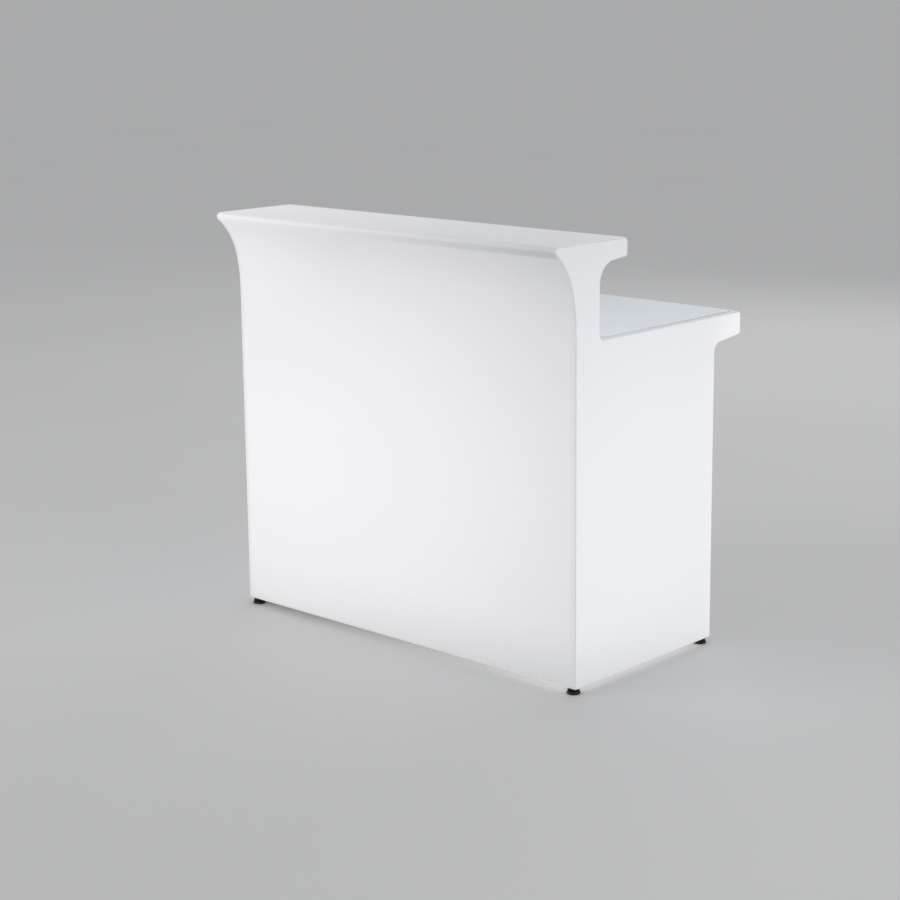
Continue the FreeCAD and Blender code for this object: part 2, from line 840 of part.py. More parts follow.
def lamp_holders():
    """Lampholders on the tray: a foot, a rounded head around the pins, and two pin holes."""
    holders = []
    half = holder_width / 2
    for z in tube_heights:
        for way in (-1, 1):
            head = tube_y - half
            outline = [
                (tray_front_y, z - half, 0),
                (tray_front_y, z + half, 0),
                (head, z + half, half),
                (head, z - half, half),
            ]
            inner_x = way * holder_inner_x
            body = prism(outline, side_view, ALONG_X * inner_x, ALONG_X * (way * holder_thickness))
            for pin_z in (z - pin_spacing / 2, z + pin_spacing / 2):
                at = V(inner_x, tube_y, pin_z)
                hole = Part.makeCylinder(pin_radius + fit_gap, pin_length + fit_gap, at, ALONG_X * way)
                body = body.cut(hole)
            holders += body.Solids
    return holders


# Terminal block and wires

block_front_y = tray_front_y - block_depth
wire_y = tray_front_y - block_depth / 2


def terminal_ways():
    """Middles of the block's ways along its length."""
    pitch = block_length / block_ways
    return [pitch * (i - (block_ways - 1) / 2) for i in range(block_ways)]


def terminal_block():
    """The three-way block, with a round well for each screw."""
    half = block_height / 2
    side = block_length / 2
    body = block(-side, block_front_y, hatch_z - half, side, tray_front_y, hatch_z + half)
    front = edges_where(body, lambda box: near(box.YMax, block_front_y))
    body = body.makeChamfer(block_chamfer, front)
    radius = terminal_screw_radius + fit_gap
    depth = 2 * terminal_screw_height
    wells = [
        Part.makeCylinder(radius, depth, V(x, block_front_y, z), ALONG_Y)
        for x, z in terminal_screw_places()
    ]
    return body.cut(wells).Solids


def terminal_screw_places():
    """Two clamping screws for each way."""
    offset = block_height / 4
    return [(x, hatch_z + way * offset) for x in terminal_ways() for way in (-1, 1)]


def terminal_screws():
    """Slotted clamping screws on the floors of their wells."""
    screws = []
    for x, z in terminal_screw_places():
        floor_y = block_front_y + 2 * terminal_screw_height
        disc = Part.makeCylinder(terminal_screw_radius, terminal_screw_height, V(x, floor_y, z), -ALONG_Y)
        front = floor_y - terminal_screw_height
        side = terminal_screw_radius
        half = terminal_slot_width / 2
        slot = block(x - side, front, z - half, x + side, front + half, z + half)
        screws += disc.cut(slot).Solids
    return screws


def wire(points):
    """A round wire along straight runs joined by arcs."""
    spots = [V(*point) for point in points]
    edges = []
    start = spots[0]
    for before, here, after in zip(spots, spots[1:], spots[2:]):
        arc_start, middle, arc_end = corner(before, here, after, wire_bend)
        edges.append(Part.makeLine(start, arc_start))
        edges.append(Part.Arc(arc_start, middle, arc_end).toShape())
        start = arc_end
    edges.append(Part.makeLine(start, spots[-1]))
    path = Part.Wire(edges)
    section = Part.Wire(Part.makeCircle(wire_radius, spots[0], spots[1] - spots[0]))
    return path.makePipeShell([section], True, False)


def lamp_wires():
    """One wire from each end of the block's upper and lower side to each lampholder."""
    wires = []
    for way_x in (-1, 1):
        for way_z in (-1, 1):
            z = hatch_z + way_z * wire_spacing
            x = way_x * (holder_inner_x + holder_thickness / 2)
            holder_z = hatch_z + way_z * (tube_spacing - holder_width) / 2
            start = (way_x * block_length / 2, wire_y, z)
            wires.append(wire([start, (x, wire_y, z), (x, wire_y, holder_z)]))
    return wires


def blade_places():
    """Middles of the inlet's three blades as (x, z)."""
    x = inlet_x + socket_x
    return [
        (x - blade_offset, inlet_z - blade_spread),
        (x + blade_offset, inlet_z),
        (x - blade_offset, inlet_z + blade_spread),
    ]


def supply_wires():
    """Three wires from the inlet along the shell's floor, up behind the front and in to the block."""
    tail_y = inlet_back_y - blade_tail
    floor_z = floor_gap + shell_wall + wire_clearance + wire_radius
    wires = []
    for (x, z), way in zip(blade_places(), (-1, 0, 1)):
        bend_y = tail_y - wire_drop_length - way * wire_bend
        rise_y = wire_y + way * wire_spacing / 2
        wires.append(
            wire(
                [
                    (x, tail_y, z),
                    (x, bend_y, z),
                    (x, bend_y, floor_z),
                    (x, rise_y, floor_z),
                    (x, rise_y, hatch_z),
                    (-block_length / 2, rise_y, hatch_z),
                ]
            )
        )
    return wires


# Power inlet

inlet_front_y = seat_y + inlet_flange_thickness
inlet_back_y = seat_y - inlet_body_depth
socket_floor_y = inlet_front_y - socket_depth
pivot_y = inlet_front_y - rocker_pivot_depth


def inlet_screw_heights():
    """Heights of the two screws of the inlet."""
    return (inlet_z - inlet_screw_spacing / 2, inlet_z + inlet_screw_spacing / 2)


def blade(x, z, low_y, high_y, gap):
    """One blade of the inlet, or with gap the slot that it sits in."""
    half_thickness = blade_thickness / 2 + gap
    half_width = blade_width / 2 + gap
    return block(x - half_width, low_y, z - half_thickness, x + half_width, high_y, z + half_thickness)


def inlet_body():
    """Flange and housing, with the socket, the rocker's pocket and the fuse drawer's pocket."""
    side = inlet_flange_length / 2
    half = inlet_flange_height / 2
    low = inlet_z - half
    high = inlet_z + half
    outline = rectangle(inlet_x - side, low, inlet_x + side, high, inlet_flange_corner)
    flange = prism(outline, rear_view, ALONG_Y * seat_y, ALONG_Y * inlet_flange_thickness)
    front_rim = edges_where(flange, lambda box: near(box.YMin, inlet_front_y))
    flange = flange.makeFillet(inlet_flange_thickness / 2, front_rim)
    side = inlet_body_length / 2
    half = inlet_body_height / 2
    housing = block(inlet_x - side, inlet_back_y, inlet_z - half, inlet_x + side, seat_y, inlet_z + half)
    x = inlet_x + socket_x
    side = socket_width / 2
    half = socket_height / 2
    past = inlet_front_y + overrun
    socket_outline = [
        (x - side, inlet_z - half, 0),
        (x + side - socket_chamfer, inlet_z - half, 0),
        (x + side, inlet_z - half + socket_chamfer, 0),
        (x + side, inlet_z + half - socket_chamfer, 0),
        (x + side - socket_chamfer, inlet_z + half, 0),
        (x - side, inlet_z + half, 0),
    ]
    depth = ALONG_Y * (socket_depth + overrun)
    tools = [prism(socket_outline, rear_view, ALONG_Y * socket_floor_y, depth)]
    x = inlet_x + rocker_x
    side = rocker_width / 2 + rocker_gap
    half = rocker_pocket_half
    low_y = inlet_front_y - rocker_pocket_depth
    tools.append(block(x - side, low_y, inlet_z - half, x + side, past, inlet_z + half))
    reach = side + trunnion_length
    at = V(x - reach, pivot_y, inlet_z)
    tools.append(Part.makeCylinder(trunnion_radius + fit_gap, 2 * reach, at, ALONG_X))
    x = inlet_x + drawer_x
    side = drawer_width / 2 + drawer_gap
    half = drawer_height / 2 + drawer_gap
    low_y = inlet_front_y - drawer_depth - drawer_gap
    tools.append(block(x - side, low_y, inlet_z - half, x + side, past, inlet_z + half))
    tools += [blade(x, z, inlet_back_y, socket_floor_y, fit_gap) for x, z in blade_places()]
    for z in inlet_screw_heights():
        at = V(inlet_x, seat_y, z)
        tools.append(Part.makeCylinder(screw_radius + hole_gap, inlet_flange_thickness, at, ALONG_Y))
    return flange.fuse(housing).removeSplitter().cut(tools).Solids


def inlet_pins():
    """The three blades, from the wires' ends to the socket."""
    return [
        blade(x, z, inlet_back_y - blade_tail, socket_floor_y + blade_reach, 0)
        for x, z in blade_places()
    ]


def inlet_screws():
    """Two screws through the flange and the shell's wall."""
    return [
        button_screw(inlet_screw_length, V(inlet_x, inlet_front_y, z), ALONG_Y)
        for z in inlet_screw_heights()
    ]


def inlet_nuts():
    """Their nuts, against the inside of the shell."""
    nuts = []
    inside_y = seat_y - shell_wall
    for z in inlet_screw_heights():
        nut = hexagon(inlet_nut_size, inlet_nut_thickness, V(inlet_x, inside_y, z), -ALONG_Y)
        at = V(inlet_x, inside_y, z)
        tap = Part.makeCylinder(screw_radius + thread_gap, inlet_nut_thickness, at, -ALONG_Y)
        nuts += nut.cut(tap).Solids
    return nuts


def rocker_switch():
    """The rocker, resting tilted at its ON position, with a trunnion on each side."""
    side = rocker_width / 2
    middle = V(inlet_x + rocker_x, pivot_y, inlet_z)
    drum = Part.makeCylinder(rocker_radius, rocker_width, V(-side, 0, 0), ALONG_X)
    below = block(-side, -rocker_radius, -rocker_radius, side, 0, rocker_radius)
    drum = drum.common(below)
    outline = [
        (0, -rocker_radius, 0),
        (rocker_end_rise, -rocker_end_reach, 0),
        (rocker_middle_rise, 0, 0),
        (rocker_end_rise, rocker_end_reach, 0),
        (0, rocker_radius, 0),
    ]
    face = prism(outline, side_view, V(-side, 0, 0), ALONG_X * rocker_width)
    reach = side + trunnion_length
    trunnions = Part.makeCylinder(trunnion_radius, 2 * reach, V(-reach, 0, 0), ALONG_X)
    rocker = drum.fuse([face, trunnions]).removeSplitter()
    rocker.rotate(V(0, 0, 0), ALONG_X, -rocker_tilt)
    rocker.translate(middle)
    return rocker.Solids


def fuse_drawer():
    """The pull-out fuse carrier, open on one side for the fuse, with a finger lip at the front."""
    low_x = inlet_x + drawer_x - drawer_width / 2
    high_x = low_x + drawer_width
    half = drawer_height / 2
    back_y = inlet_front_y - drawer_depth
    tray = block(low_x, back_y, inlet_z - half, high_x, inlet_front_y, inlet_z + half)
    half = drawer_lip_height / 2
    lip_y = inlet_front_y + drawer_lip
    lip = block(low_x, inlet_front_y, inlet_z - half, high_x, lip_y, inlet_z + half)
    lip = lip.makeFillet(drawer_lip / 2, edges_where(lip, lambda box: near(box.YMin, lip_y)))
    radius = fuse_radius + fuse_gap
    reach = fuse_length / 2 + fuse_gap
    y = inlet_front_y - fuse_setback
    inner_x = low_x + 2 * radius
    cradle = block(low_x, y - radius, inlet_z - reach, inner_x, y + radius, inlet_z + reach)
    return tray.fuse(lip).removeSplitter().cut(cradle).Solids


def fuse_link():
    """The cartridge fuse: two caps and a thinner glass between them."""
    x = inlet_x + drawer_x - drawer_width / 2 + fuse_radius + fuse_gap
    y = inlet_front_y - fuse_setback
    low = inlet_z - fuse_length / 2
    glass = Part.makeCylinder(fuse_radius - fuse_waist, fuse_length, V(x, y, low))
    caps = [
        Part.makeCylinder(fuse_radius, fuse_cap_length, V(x, y, z))
        for z in (low, low + fuse_length - fuse_cap_length)
    ]
    return glass.fuse(caps).removeSplitter().Solids


# Feet

lock_ring_bottom = floor_gap - lock_ring_gap - lock_ring_height


def turned(points, x, y):
    """A solid of revolution about an upright axis, from outline points (radius, height)."""
    spots = [V(radius, 0, height) for radius, height in points]
    face = Part.Face(Part.makePolygon(spots + [spots[0]]))
    solid = face.revolve(V(0, 0, 0), UP, 360)
    solid.translate(V(x, y, 0))
    return solid


def foot_pad(x, y):
    """The moulded foot: a rounded flange and a cone, with a socket that holds the stem's head."""
    outline = [
        (0, foot_lift),
        (foot_under_radius, foot_lift),
        (foot_radius, foot_widest_height),
        (foot_top_radius, foot_top_height),
        (0, foot_top_height),
    ]
    pad = turned(outline, x, y)
    height = foot_widest_height
    rim = edges_where(pad, lambda box: near(box.ZMin, height) and near(box.ZMax, height))
    pad = pad.makeFillet(foot_rim_round, rim)
    head_room = stem_head_height + 2 * stem_head_gap
    head_low = V(x, y, stem_head_bottom - stem_head_gap)
    tools = [
        Part.makeCylinder(sole_radius + fit_gap, sole_thickness + fit_gap, V(x, y, 0)),
        Part.makeCylinder(stem_head_radius + fit_gap, head_room, head_low),
        Part.makeCylinder(stem_radius + fit_gap, foot_top_height, V(x, y, stem_head_bottom)),
    ]
    return pad.cut(tools).Solids


def foot_sole(x, y):
    """The rubber disc that stands on the floor."""
    disc = Part.makeCylinder(sole_radius, sole_thickness, V(x, y, 0))
    return [disc.makeChamfer(sole_chamfer, edges_where(disc, lambda box: near(box.ZMax, 0)))]


def around(x, y, count, radius):
    """Places evenly spaced on a circle about a foot's axis, each with its turn in degrees."""
    turns = [360 * i / count for i in range(count)]
    across = [radius * math.cos(math.radians(turn)) for turn in turns]
    along = [radius * math.sin(math.radians(turn)) for turn in turns]
    return [(x + u, y + v, turn) for u, v, turn in zip(across, along, turns)]


def foot_stem(x, y):
    """The screw: a round head captive in the foot, a fluted wheel to turn it by, and the thread."""
    head = Part.makeCylinder(stem_head_radius, stem_head_height, V(x, y, stem_head_bottom))
    wheel_bottom = foot_top_height + thumbwheel_gap
    wheel_height = lock_ring_bottom - thumbwheel_gap - wheel_bottom
    wheel = Part.makeCylinder(thumbwheel_radius, wheel_height, V(x, y, wheel_bottom))
    flute_reach = thumbwheel_radius - thumbwheel_flute_depth + thumbwheel_flute_radius
    flutes = around(x, y, thumbwheel_flutes, flute_reach)
    height = wheel_height + 2 * overrun
    low = wheel_bottom - overrun
    tools = [Part.makeCylinder(thumbwheel_flute_radius, height, V(u, v, low)) for u, v, _ in flutes]
    rod = Part.makeCylinder(stem_radius, stem_top - stem_head_bottom, V(x, y, stem_head_bottom))
    rod = rod.makeChamfer(stem_chamfer, edges_where(rod, lambda box: near(box.ZMin, stem_top)))
    return head.fuse([wheel.cut(tools), rod]).removeSplitter().Solids


def foot_lock_rings():
    """Slotted rings that lock the stems, just under the shell."""
    rings = []
    low = lock_ring_bottom - overrun
    height = lock_ring_height + 2 * overrun
    for x, y in foot_places().values():
        base = V(x, y, lock_ring_bottom)
        ring = Part.makeCylinder(lock_ring_radius, lock_ring_height, base)
        tools = [Part.makeCylinder(stem_radius + thread_gap, lock_ring_height, base)]
        for u, v, turn in around(x, y, lock_ring_slots, lock_ring_radius):
            slot = Part.makeBox(2 * lock_ring_slot_depth, lock_ring_slot_width, height)
            slot.translate(V(-lock_ring_slot_depth, -lock_ring_slot_width / 2, low))
            slot.rotate(V(0, 0, 0), UP, turn)
            slot.translate(V(u, v, 0))
            tools.append(slot)
        rings += ring.cut(tools).Solids
    return rings


def foot_inserts():
    """Threaded bushes moulded into the shell's floor, with grooves that key them."""
    bushes = []
    bore = stem_radius + thread_gap
    width = foot_bush_groove_width
    spacing = (foot_bush_length - foot_bush_grooves * width) / (foot_bush_grooves + 1)
    for x, y in foot_places().values():
        bush = ring_bush(foot_bush_radius, bore, foot_bush_length, V(x, y, floor_gap), UP)
        for i in range(foot_bush_grooves):
            at = V(x, y, floor_gap + spacing + i * (spacing + width))
            outer = Part.makeCylinder(foot_bush_radius + overrun, width, at)
            core = Part.makeCylinder(foot_bush_radius - foot_bush_groove, width, at)
            bush = bush.cut(outer.cut(core))
        bushes += bush.Solids
    return bushes


os.makedirs("parts", exist_ok=True)
nodes = {
    "body_shell": body_shell(),
    "worktop_glass": worktop_glass(),
    "glass_pads": glass_pads(),
    "storage_shelf": storage_shelf(),
    "shelf_pads": shelf_pads(),
    "hatch_panel": hatch_panel(),
    "hatch_gasket": hatch_gasket(),
    "hatch_screws": hatch_screws(),
    "hatch_inserts": hatch_inserts(),
    "tray_spacers": tray_spacers(),
    "gear_tray": gear_tray(),
    "tray_screws": tray_screws(),
    "lamp_tubes": lamp_tubes(),
    "lamp_caps": lamp_caps(),
    "lamp_holders": lamp_holders(),
    "terminal_block": terminal_block(),
    "terminal_screws": terminal_screws(),
    "lamp_wires": lamp_wires(),
    "supply_wires": supply_wires(),
    "inlet_body": inlet_body(),
    "inlet_pins": inlet_pins(),
    "inlet_screws": inlet_screws(),
    "inlet_nuts": inlet_nuts(),
    "rocker_switch": rocker_switch(),
    "fuse_drawer": fuse_drawer(),
    "fuse_link": fuse_link(),
    "foot_lock_rings": foot_lock_rings(),
    "foot_inserts": foot_inserts(),
}
for place, (x, y) in foot_places().items():
    nodes[f"foot_pad_{place}"] = foot_pad(x, y)
    nodes[f"foot_sole_{place}"] = foot_sole(x, y)
    nodes[f"foot_stem_{place}"] = foot_stem(x, y)
for node, solids in nodes.items():
    write(node, solids)
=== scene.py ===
# %% [markdown]
# # An illuminated bar counter
# The counter is one hollow moulding of milky polyethylene with lamps inside. Nearly all of its look
# is in how it glows, so this lesson spends most of its steps on finishes.
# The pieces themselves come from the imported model, each as its own object in metres, already in place.

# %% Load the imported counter
import math

import bmesh
import bpy
from mathutils import Matrix, Vector
from mathutils.bvhtree import BVHTree


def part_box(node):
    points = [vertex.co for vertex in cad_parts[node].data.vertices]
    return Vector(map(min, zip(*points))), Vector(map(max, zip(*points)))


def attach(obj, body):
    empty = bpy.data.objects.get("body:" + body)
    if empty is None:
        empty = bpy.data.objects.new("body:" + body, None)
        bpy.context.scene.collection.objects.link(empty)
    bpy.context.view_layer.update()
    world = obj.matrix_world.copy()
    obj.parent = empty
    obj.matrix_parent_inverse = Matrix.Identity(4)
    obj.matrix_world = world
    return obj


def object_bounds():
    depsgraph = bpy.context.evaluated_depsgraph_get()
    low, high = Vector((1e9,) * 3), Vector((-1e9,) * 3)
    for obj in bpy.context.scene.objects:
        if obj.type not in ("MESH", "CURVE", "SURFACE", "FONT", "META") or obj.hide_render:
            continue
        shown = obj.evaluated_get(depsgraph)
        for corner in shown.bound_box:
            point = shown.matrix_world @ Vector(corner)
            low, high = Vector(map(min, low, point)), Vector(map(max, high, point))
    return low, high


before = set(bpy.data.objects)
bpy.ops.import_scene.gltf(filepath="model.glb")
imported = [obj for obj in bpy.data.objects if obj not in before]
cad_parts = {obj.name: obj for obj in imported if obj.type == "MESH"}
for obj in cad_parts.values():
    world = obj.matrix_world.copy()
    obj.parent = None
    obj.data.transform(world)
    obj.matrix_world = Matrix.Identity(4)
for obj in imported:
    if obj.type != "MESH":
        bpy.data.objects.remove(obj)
cad_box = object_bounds()

# %% [markdown]
# ## The camera
# The counter is seen from in front of it and from its right, a little from above. A camera has a
# place, three turns and a focal length. All of these were worked out by laying the counter's known
# corners over the picture, so the values here are simply set.

# %% Set the camera
camera_place = Vector((3.5232, -3.9432, 1.6869))
camera_turn = math.radians(42.4925)
camera_tilt = math.radians(12.8964)
camera_roll = math.radians(-0.3487)
picture_width = 900
focal_length_in_pixels = 2036.06
sensor_width = 36.0

camera_data = bpy.data.cameras.new("camera")
camera_data.sensor_width = sensor_width
camera_data.lens = focal_length_in_pixels / picture_width * sensor_width
camera = bpy.data.objects.new("camera", camera_data)
bpy.context.scene.collection.objects.link(camera)
turned = Matrix.Rotation(camera_turn, 4, "Z")
tilted = Matrix.Rotation(math.pi / 2 - camera_tilt, 4, "X")
rolled = Matrix.Rotation(camera_roll, 4, "Z")
camera.matrix_world = Matrix.Translation(camera_place) @ turned @ tilted @ rolled
bpy.context.scene.camera = camera
print("lens", round(camera_data.lens, 1), "mm")

# %% [markdown]
# ## Nodes in few words
# A finish is a small network of nodes. Building one by hand takes a line for each node and each link,
# so this helper makes a node, sets it up and joins it in one call. A socket given as a value is
# linked, and anything else is set on the node's own socket.

# %% A helper for nodes
def find_socket(sockets, name):
    """The first socket in use with this name."""
    return next(socket for socket in sockets if socket.name == name and socket.enabled)


def add_node(tree, kind, sockets, **settings):
    """Adds one node, with its settings and its sockets' values or links."""
    node = tree.nodes.new("ShaderNode" + kind)
    for name, value in settings.items():
        setattr(node, name, value)
    for name, value in sockets.items():
        socket = find_socket(node.inputs, name)
        if isinstance(value, bpy.types.NodeSocket):
            tree.links.new(value, socket)
        else:
            socket.default_value = value
    return node


def output_of(node, name):
    """One output of a node, by name."""
    return find_socket(node.outputs, name)


print("a node takes one call")

# %% [markdown]
# Three small steps come back in nearly every finish: squeezing a value between two limits, mixing
# two colours by a mask, and doing one sum. Each gets a helper of its own.

# %% Helpers for masks, mixes and sums
def fade(tree, value, start, end, at_start=0.0, at_end=1.0, smooth=True):
    """A value that goes from at_start to at_end while the given one goes from start to end."""
    limits = {"Value": value, "From Min": start, "From Max": end, "To Min": at_start, "To Max": at_end}
    kind = "SMOOTHSTEP" if smooth else "LINEAR"
    return output_of(add_node(tree, "MapRange", limits, interpolation_type=kind), "Result")


def mix_colours(tree, mask, first, second):
    """The first colour where the mask is 0 and the second where it is 1."""
    colours = {"Factor": mask, "A": first, "B": second}
    return output_of(add_node(tree, "Mix", colours, data_type="RGBA"), "Result")


def calculate(tree, operation, first, second=0.0):
    """One sum of two values."""
    node = tree.nodes.new("ShaderNodeMath")
    node.operation = operation
    for socket, value in zip(node.inputs, (first, second)):
        if isinstance(value, bpy.types.NodeSocket):
            tree.links.new(value, socket)
        else:
            socket.default_value = value
    return node.outputs["Value"]


def calculate_vector(tree, operation, first, second):
    """One sum of two vectors. It gives the node, because some sums end in a plain value."""
    node = add_node(tree, "VectorMath", {}, operation=operation)
    for socket, value in zip(node.inputs, (first, second)):
        tree.links.new(value, socket)
    return node


print("fade, mix_colours, calculate and calculate_vector are ready")

# %% [markdown]
# A mask starts from where a point is, from which way the surface faces there, or from a noise. The
# object's own coordinates are used, because they go along with a piece when it moves.

# %% Helpers for places and noises
def own_place(tree):
    """Where a point is on the counter."""
    return output_of(add_node(tree, "TexCoord", {}), "Object")


def own_coordinates(tree):
    """The x, y and z of a point on the counter."""
    return add_node(tree, "SeparateXYZ", {"Vector": own_place(tree)}).outputs


def own_facing(tree):
    """The x, y and z parts of the direction that the surface faces."""
    facing = output_of(add_node(tree, "TexCoord", {}), "Normal")
    return add_node(tree, "SeparateXYZ", {"Vector": facing}).outputs


def noise(tree, place, scale, detail):
    """A soft random pattern between 0 and 1, which is finer where the scale is larger."""
    sockets = {"Vector": place, "Scale": scale, "Detail": detail}
    return output_of(add_node(tree, "TexNoise", sockets), "Fac")


print("places, directions and noises take one call each")

# %% [markdown]
# ## Shared effects
# Some effects turn up on several finishes: a slightly wavy moulded skin, marks of handling, dust that
# settles near the floor. Each is built once as a node group with named inputs and outputs, and every
# finish that needs it places the group with its own values.

# %% A helper that starts an effect
def start_effect(name, inputs, outputs):
    """An empty node group, with the sockets of its way in and its way out."""
    group = bpy.data.node_groups.new(name, "ShaderNodeTree")
    for title, value in inputs.items():
        kind = "NodeSocketVector" if isinstance(value, tuple) else "NodeSocketFloat"
        socket = group.interface.new_socket(title, in_out="INPUT", socket_type=kind)
        socket.default_value = value
    for title in outputs:
        group.interface.new_socket(title, in_out="OUTPUT", socket_type="NodeSocketFloat")
    way_in = group.nodes.new("NodeGroupInput").outputs
    way_out = group.nodes.new("NodeGroupOutput").inputs
    return group, way_in, way_out


def use_effect(tree, group, sockets, output):
    """Places an effect in a finish, with its own values, and gives one of its outputs."""
    return output_of(add_node(tree, "Group", sockets, node_tree=group), output)


print("effects are node groups")

# %% [markdown]
# ### Lamplight and painted light through the wall
# A glowing moulding isn't lit evenly. The effect is brightest at a given place and fades towards the
# ends; where that place is set away from the lamps, the glow it gives is painted light. It measures
# how far a point is from the brightest place, with each direction divided by its own reach. The
# square of that distance is taken from 1, which gives a wide bright middle and a steady fall to 0.
# Lamps inside the real material could be traced, but that needs thousands of samples. A mask that
# feeds the emission colour costs nothing and can be set to what the eye sees.

# %% The effect of lamplight
def build_glow_with_painted_light():
    """1 at the brightest place, and 0 a full reach away from it."""
    inputs = {"Brightest Place": (0.0, 0.0, 0.0), "Reach": (1.0, 1.0, 1.0)}
    group, way_in, way_out = start_effect("glow_with_painted_light", inputs, ["Light"])
    away = calculate_vector(group, "SUBTRACT", own_place(group), way_in["Brightest Place"])
    shared = calculate_vector(group, "DIVIDE", away.outputs["Vector"], way_in["Reach"])
    shared = shared.outputs["Vector"]
    far = calculate_vector(group, "DOT_PRODUCT", shared, shared).outputs["Value"]
    light = calculate(group, "SUBTRACT", 1.0, far)
    group.links.new(calculate(group, "MAXIMUM", light, 0.0), way_out["Light"])
    return group


glow_with_painted_light = build_glow_with_painted_light()
print("lamplight has", len(glow_with_painted_light.nodes), "nodes")

# %% [markdown]
# ### Painted shade on the corners
# The glow is made dimmer on the rounded corners, which paints a soft line of shade along the edges of
# both ends. The rounded corner is where the surface faces halfway between two walls: the share of its
# direction that points along the counter, times the share that doesn't, is largest there. It reaches
# a quarter, so it is taken four times.

# %% The effect of thick corners
def build_painted_corner_shade():
    """1 on the rounded corners, where shade is painted."""
    group, way_in, way_out = start_effect("painted corner shade", {"Narrowness": 0.6}, ["Corner"])
    facing = own_facing(group)
    across = calculate(group, "MULTIPLY", facing["X"], facing["X"])
    along = calculate(group, "SUBTRACT", 1.0, across)
    between = calculate(group, "MULTIPLY", calculate(group, "MULTIPLY", across, along), 4.0)
    group.links.new(fade(group, between, way_in["Narrowness"], 1.0), way_out["Corner"])
    return group


painted_corner_shade = build_painted_corner_shade()
print("painted corner shade has", len(painted_corner_shade.nodes), "nodes")

# %% [markdown]
# ### Moulded skin
# Moulded plastic is never quite flat. It has a long soft waviness from cooling, and on top of that a
# fine grain copied from the mould. Two noises at two sizes give a height that a bump node turns into
# shading.

# %% The effect of a moulded skin
def build_moulded_skin():
    """The height of a moulded surface: soft waves and a fine grain."""
    inputs = {"Wave Scale": 8.0, "Grain Scale": 400.0, "Grain Share": 0.3}
    group, way_in, way_out = start_effect("moulded skin", inputs, ["Height"])
    place = own_place(group)
    waves = noise(group, place, way_in["Wave Scale"], detail=1.0)
    grain = noise(group, place, way_in["Grain Scale"], detail=3.0)
    fine = calculate(group, "MULTIPLY", grain, way_in["Grain Share"])
    group.links.new(calculate(group, "ADD", waves, fine), way_out["Height"])
    return group


moulded_skin = build_moulded_skin()
print("moulded skin has", len(moulded_skin.nodes), "nodes")

# %% [markdown]
# ### Marks of handling
# Hands and cloths leave a surface shinier in some places than in others. A large noise stands for
# wiped patches and a stretched fine one for hairline scratches, and together they move the roughness
# up and down around its middle value.

# %% The effect of handling
def build_handling():
    """A roughness that varies with wiped patches and hairline scratches."""
    inputs = {"Roughness": 0.4, "Spread": 0.1, "Patch Scale": 6.0, "Scratch Scale": 60.0}
    group, way_in, way_out = start_effect("handling", inputs, ["Roughness"])
    place = own_place(group)
    patches = noise(group, place, way_in["Patch Scale"], detail=4.0)
    stretch = add_node(group, "Mapping", {"Vector": place, "Scale": (1.0, 8.0, 8.0)})
    scratches = noise(group, stretch.outputs["Vector"], way_in["Scratch Scale"], detail=6.0)
    both = calculate(group, "ADD", patches, scratches)
    swing = calculate(group, "MULTIPLY", calculate(group, "SUBTRACT", both, 1.0), way_in["Spread"])
    group.links.new(calculate(group, "ADD", way_in["Roughness"], swing), way_out["Roughness"])
    return group


handling = build_handling()
print("handling has", len(handling.nodes), "nodes")

# %% [markdown]
# ### Dust near the floor
# A bar floor is mopped every night, and the lowest centimetres of whatever stands on it stay greyer
# than the rest. The mask fades with height and is broken up by a noise, so it has no clean edge.

# %% The effect of floor dust
def build_floor_dust():
    """1 at the floor and 0 above the given height, with a ragged edge."""
    inputs = {"Height": 0.05, "Patch Scale": 40.0}
    group, way_in, way_out = start_effect("floor dust", inputs, ["Dust"])
    patches = noise(group, own_place(group), way_in["Patch Scale"], detail=5.0)
    low = fade(group, own_coordinates(group)["Z"], 0.0, way_in["Height"], 1.0, 0.0)
    group.links.new(calculate(group, "MULTIPLY", low, patches), way_out["Dust"])
    return group


floor_dust = build_floor_dust()
print("floor dust has", len(floor_dust.nodes), "nodes")

# %% [markdown]
# ### Tool marks on metal
# Turned and drawn metal carries fine lines all one way. A noise that is stretched along one axis
# gives them, and the axis is an input, because a screw, a bush and a tray were each worked in their
# own direction.

# %% The effect of tool marks
def build_tool_marks():
    """The height and the tone of fine lines, close together where a direction's scale is large."""
    inputs = {"Lines": (400.0, 400.0, 10.0)}
    group, way_in, way_out = start_effect("tool marks", inputs, ["Height", "Tone"])
    stretched = calculate_vector(group, "MULTIPLY", own_place(group), way_in["Lines"])
    lines = noise(group, stretched.outputs["Vector"], scale=1.0, detail=3.0)
    group.links.new(lines, way_out["Height"])
    group.links.new(fade(group, lines, 0.3, 0.7), way_out["Tone"])
    return group


tool_marks = build_tool_marks()
print("tool marks has", len(tool_marks.nodes), "nodes")

# %% [markdown]
# ## Finishes
# Each finish is a material with one Principled shader. A helper makes the material, and another joins
# a height to its normal through a bump node.

# %% Helpers for a finish
def start_finish(name):
    """A new material, its node tree and its Principled shader."""
    material = bpy.data.materials.new(name)
    material.use_nodes = True
    tree = material.node_tree
    shader = next(node for node in tree.nodes if node.type == "BSDF_PRINCIPLED")
    return material, tree, shader.inputs


def set_shader(tree, shader, values):
    """Sets or links the shader's sockets by name."""
    for name, value in values.items():
        if isinstance(value, bpy.types.NodeSocket):
            tree.links.new(value, shader[name])
        else:
            shader[name].default_value = value


def raise_surface(tree, shader, height, strength, distance):
    """Shades the surface by a height. The distance is in metres."""
    bump = add_node(tree, "Bump", {"Height": height, "Strength": strength, "Distance": distance})
    tree.links.new(bump.outputs["Normal"], shader["Normal"])


def finish_pieces(material, *names):
    """Gives the material to every slot of the named pieces."""
    for name in names:
        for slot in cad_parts[name].material_slots:
            slot.link = "OBJECT"
            slot.material = material
    print(material.name, "on", ", ".join(names))
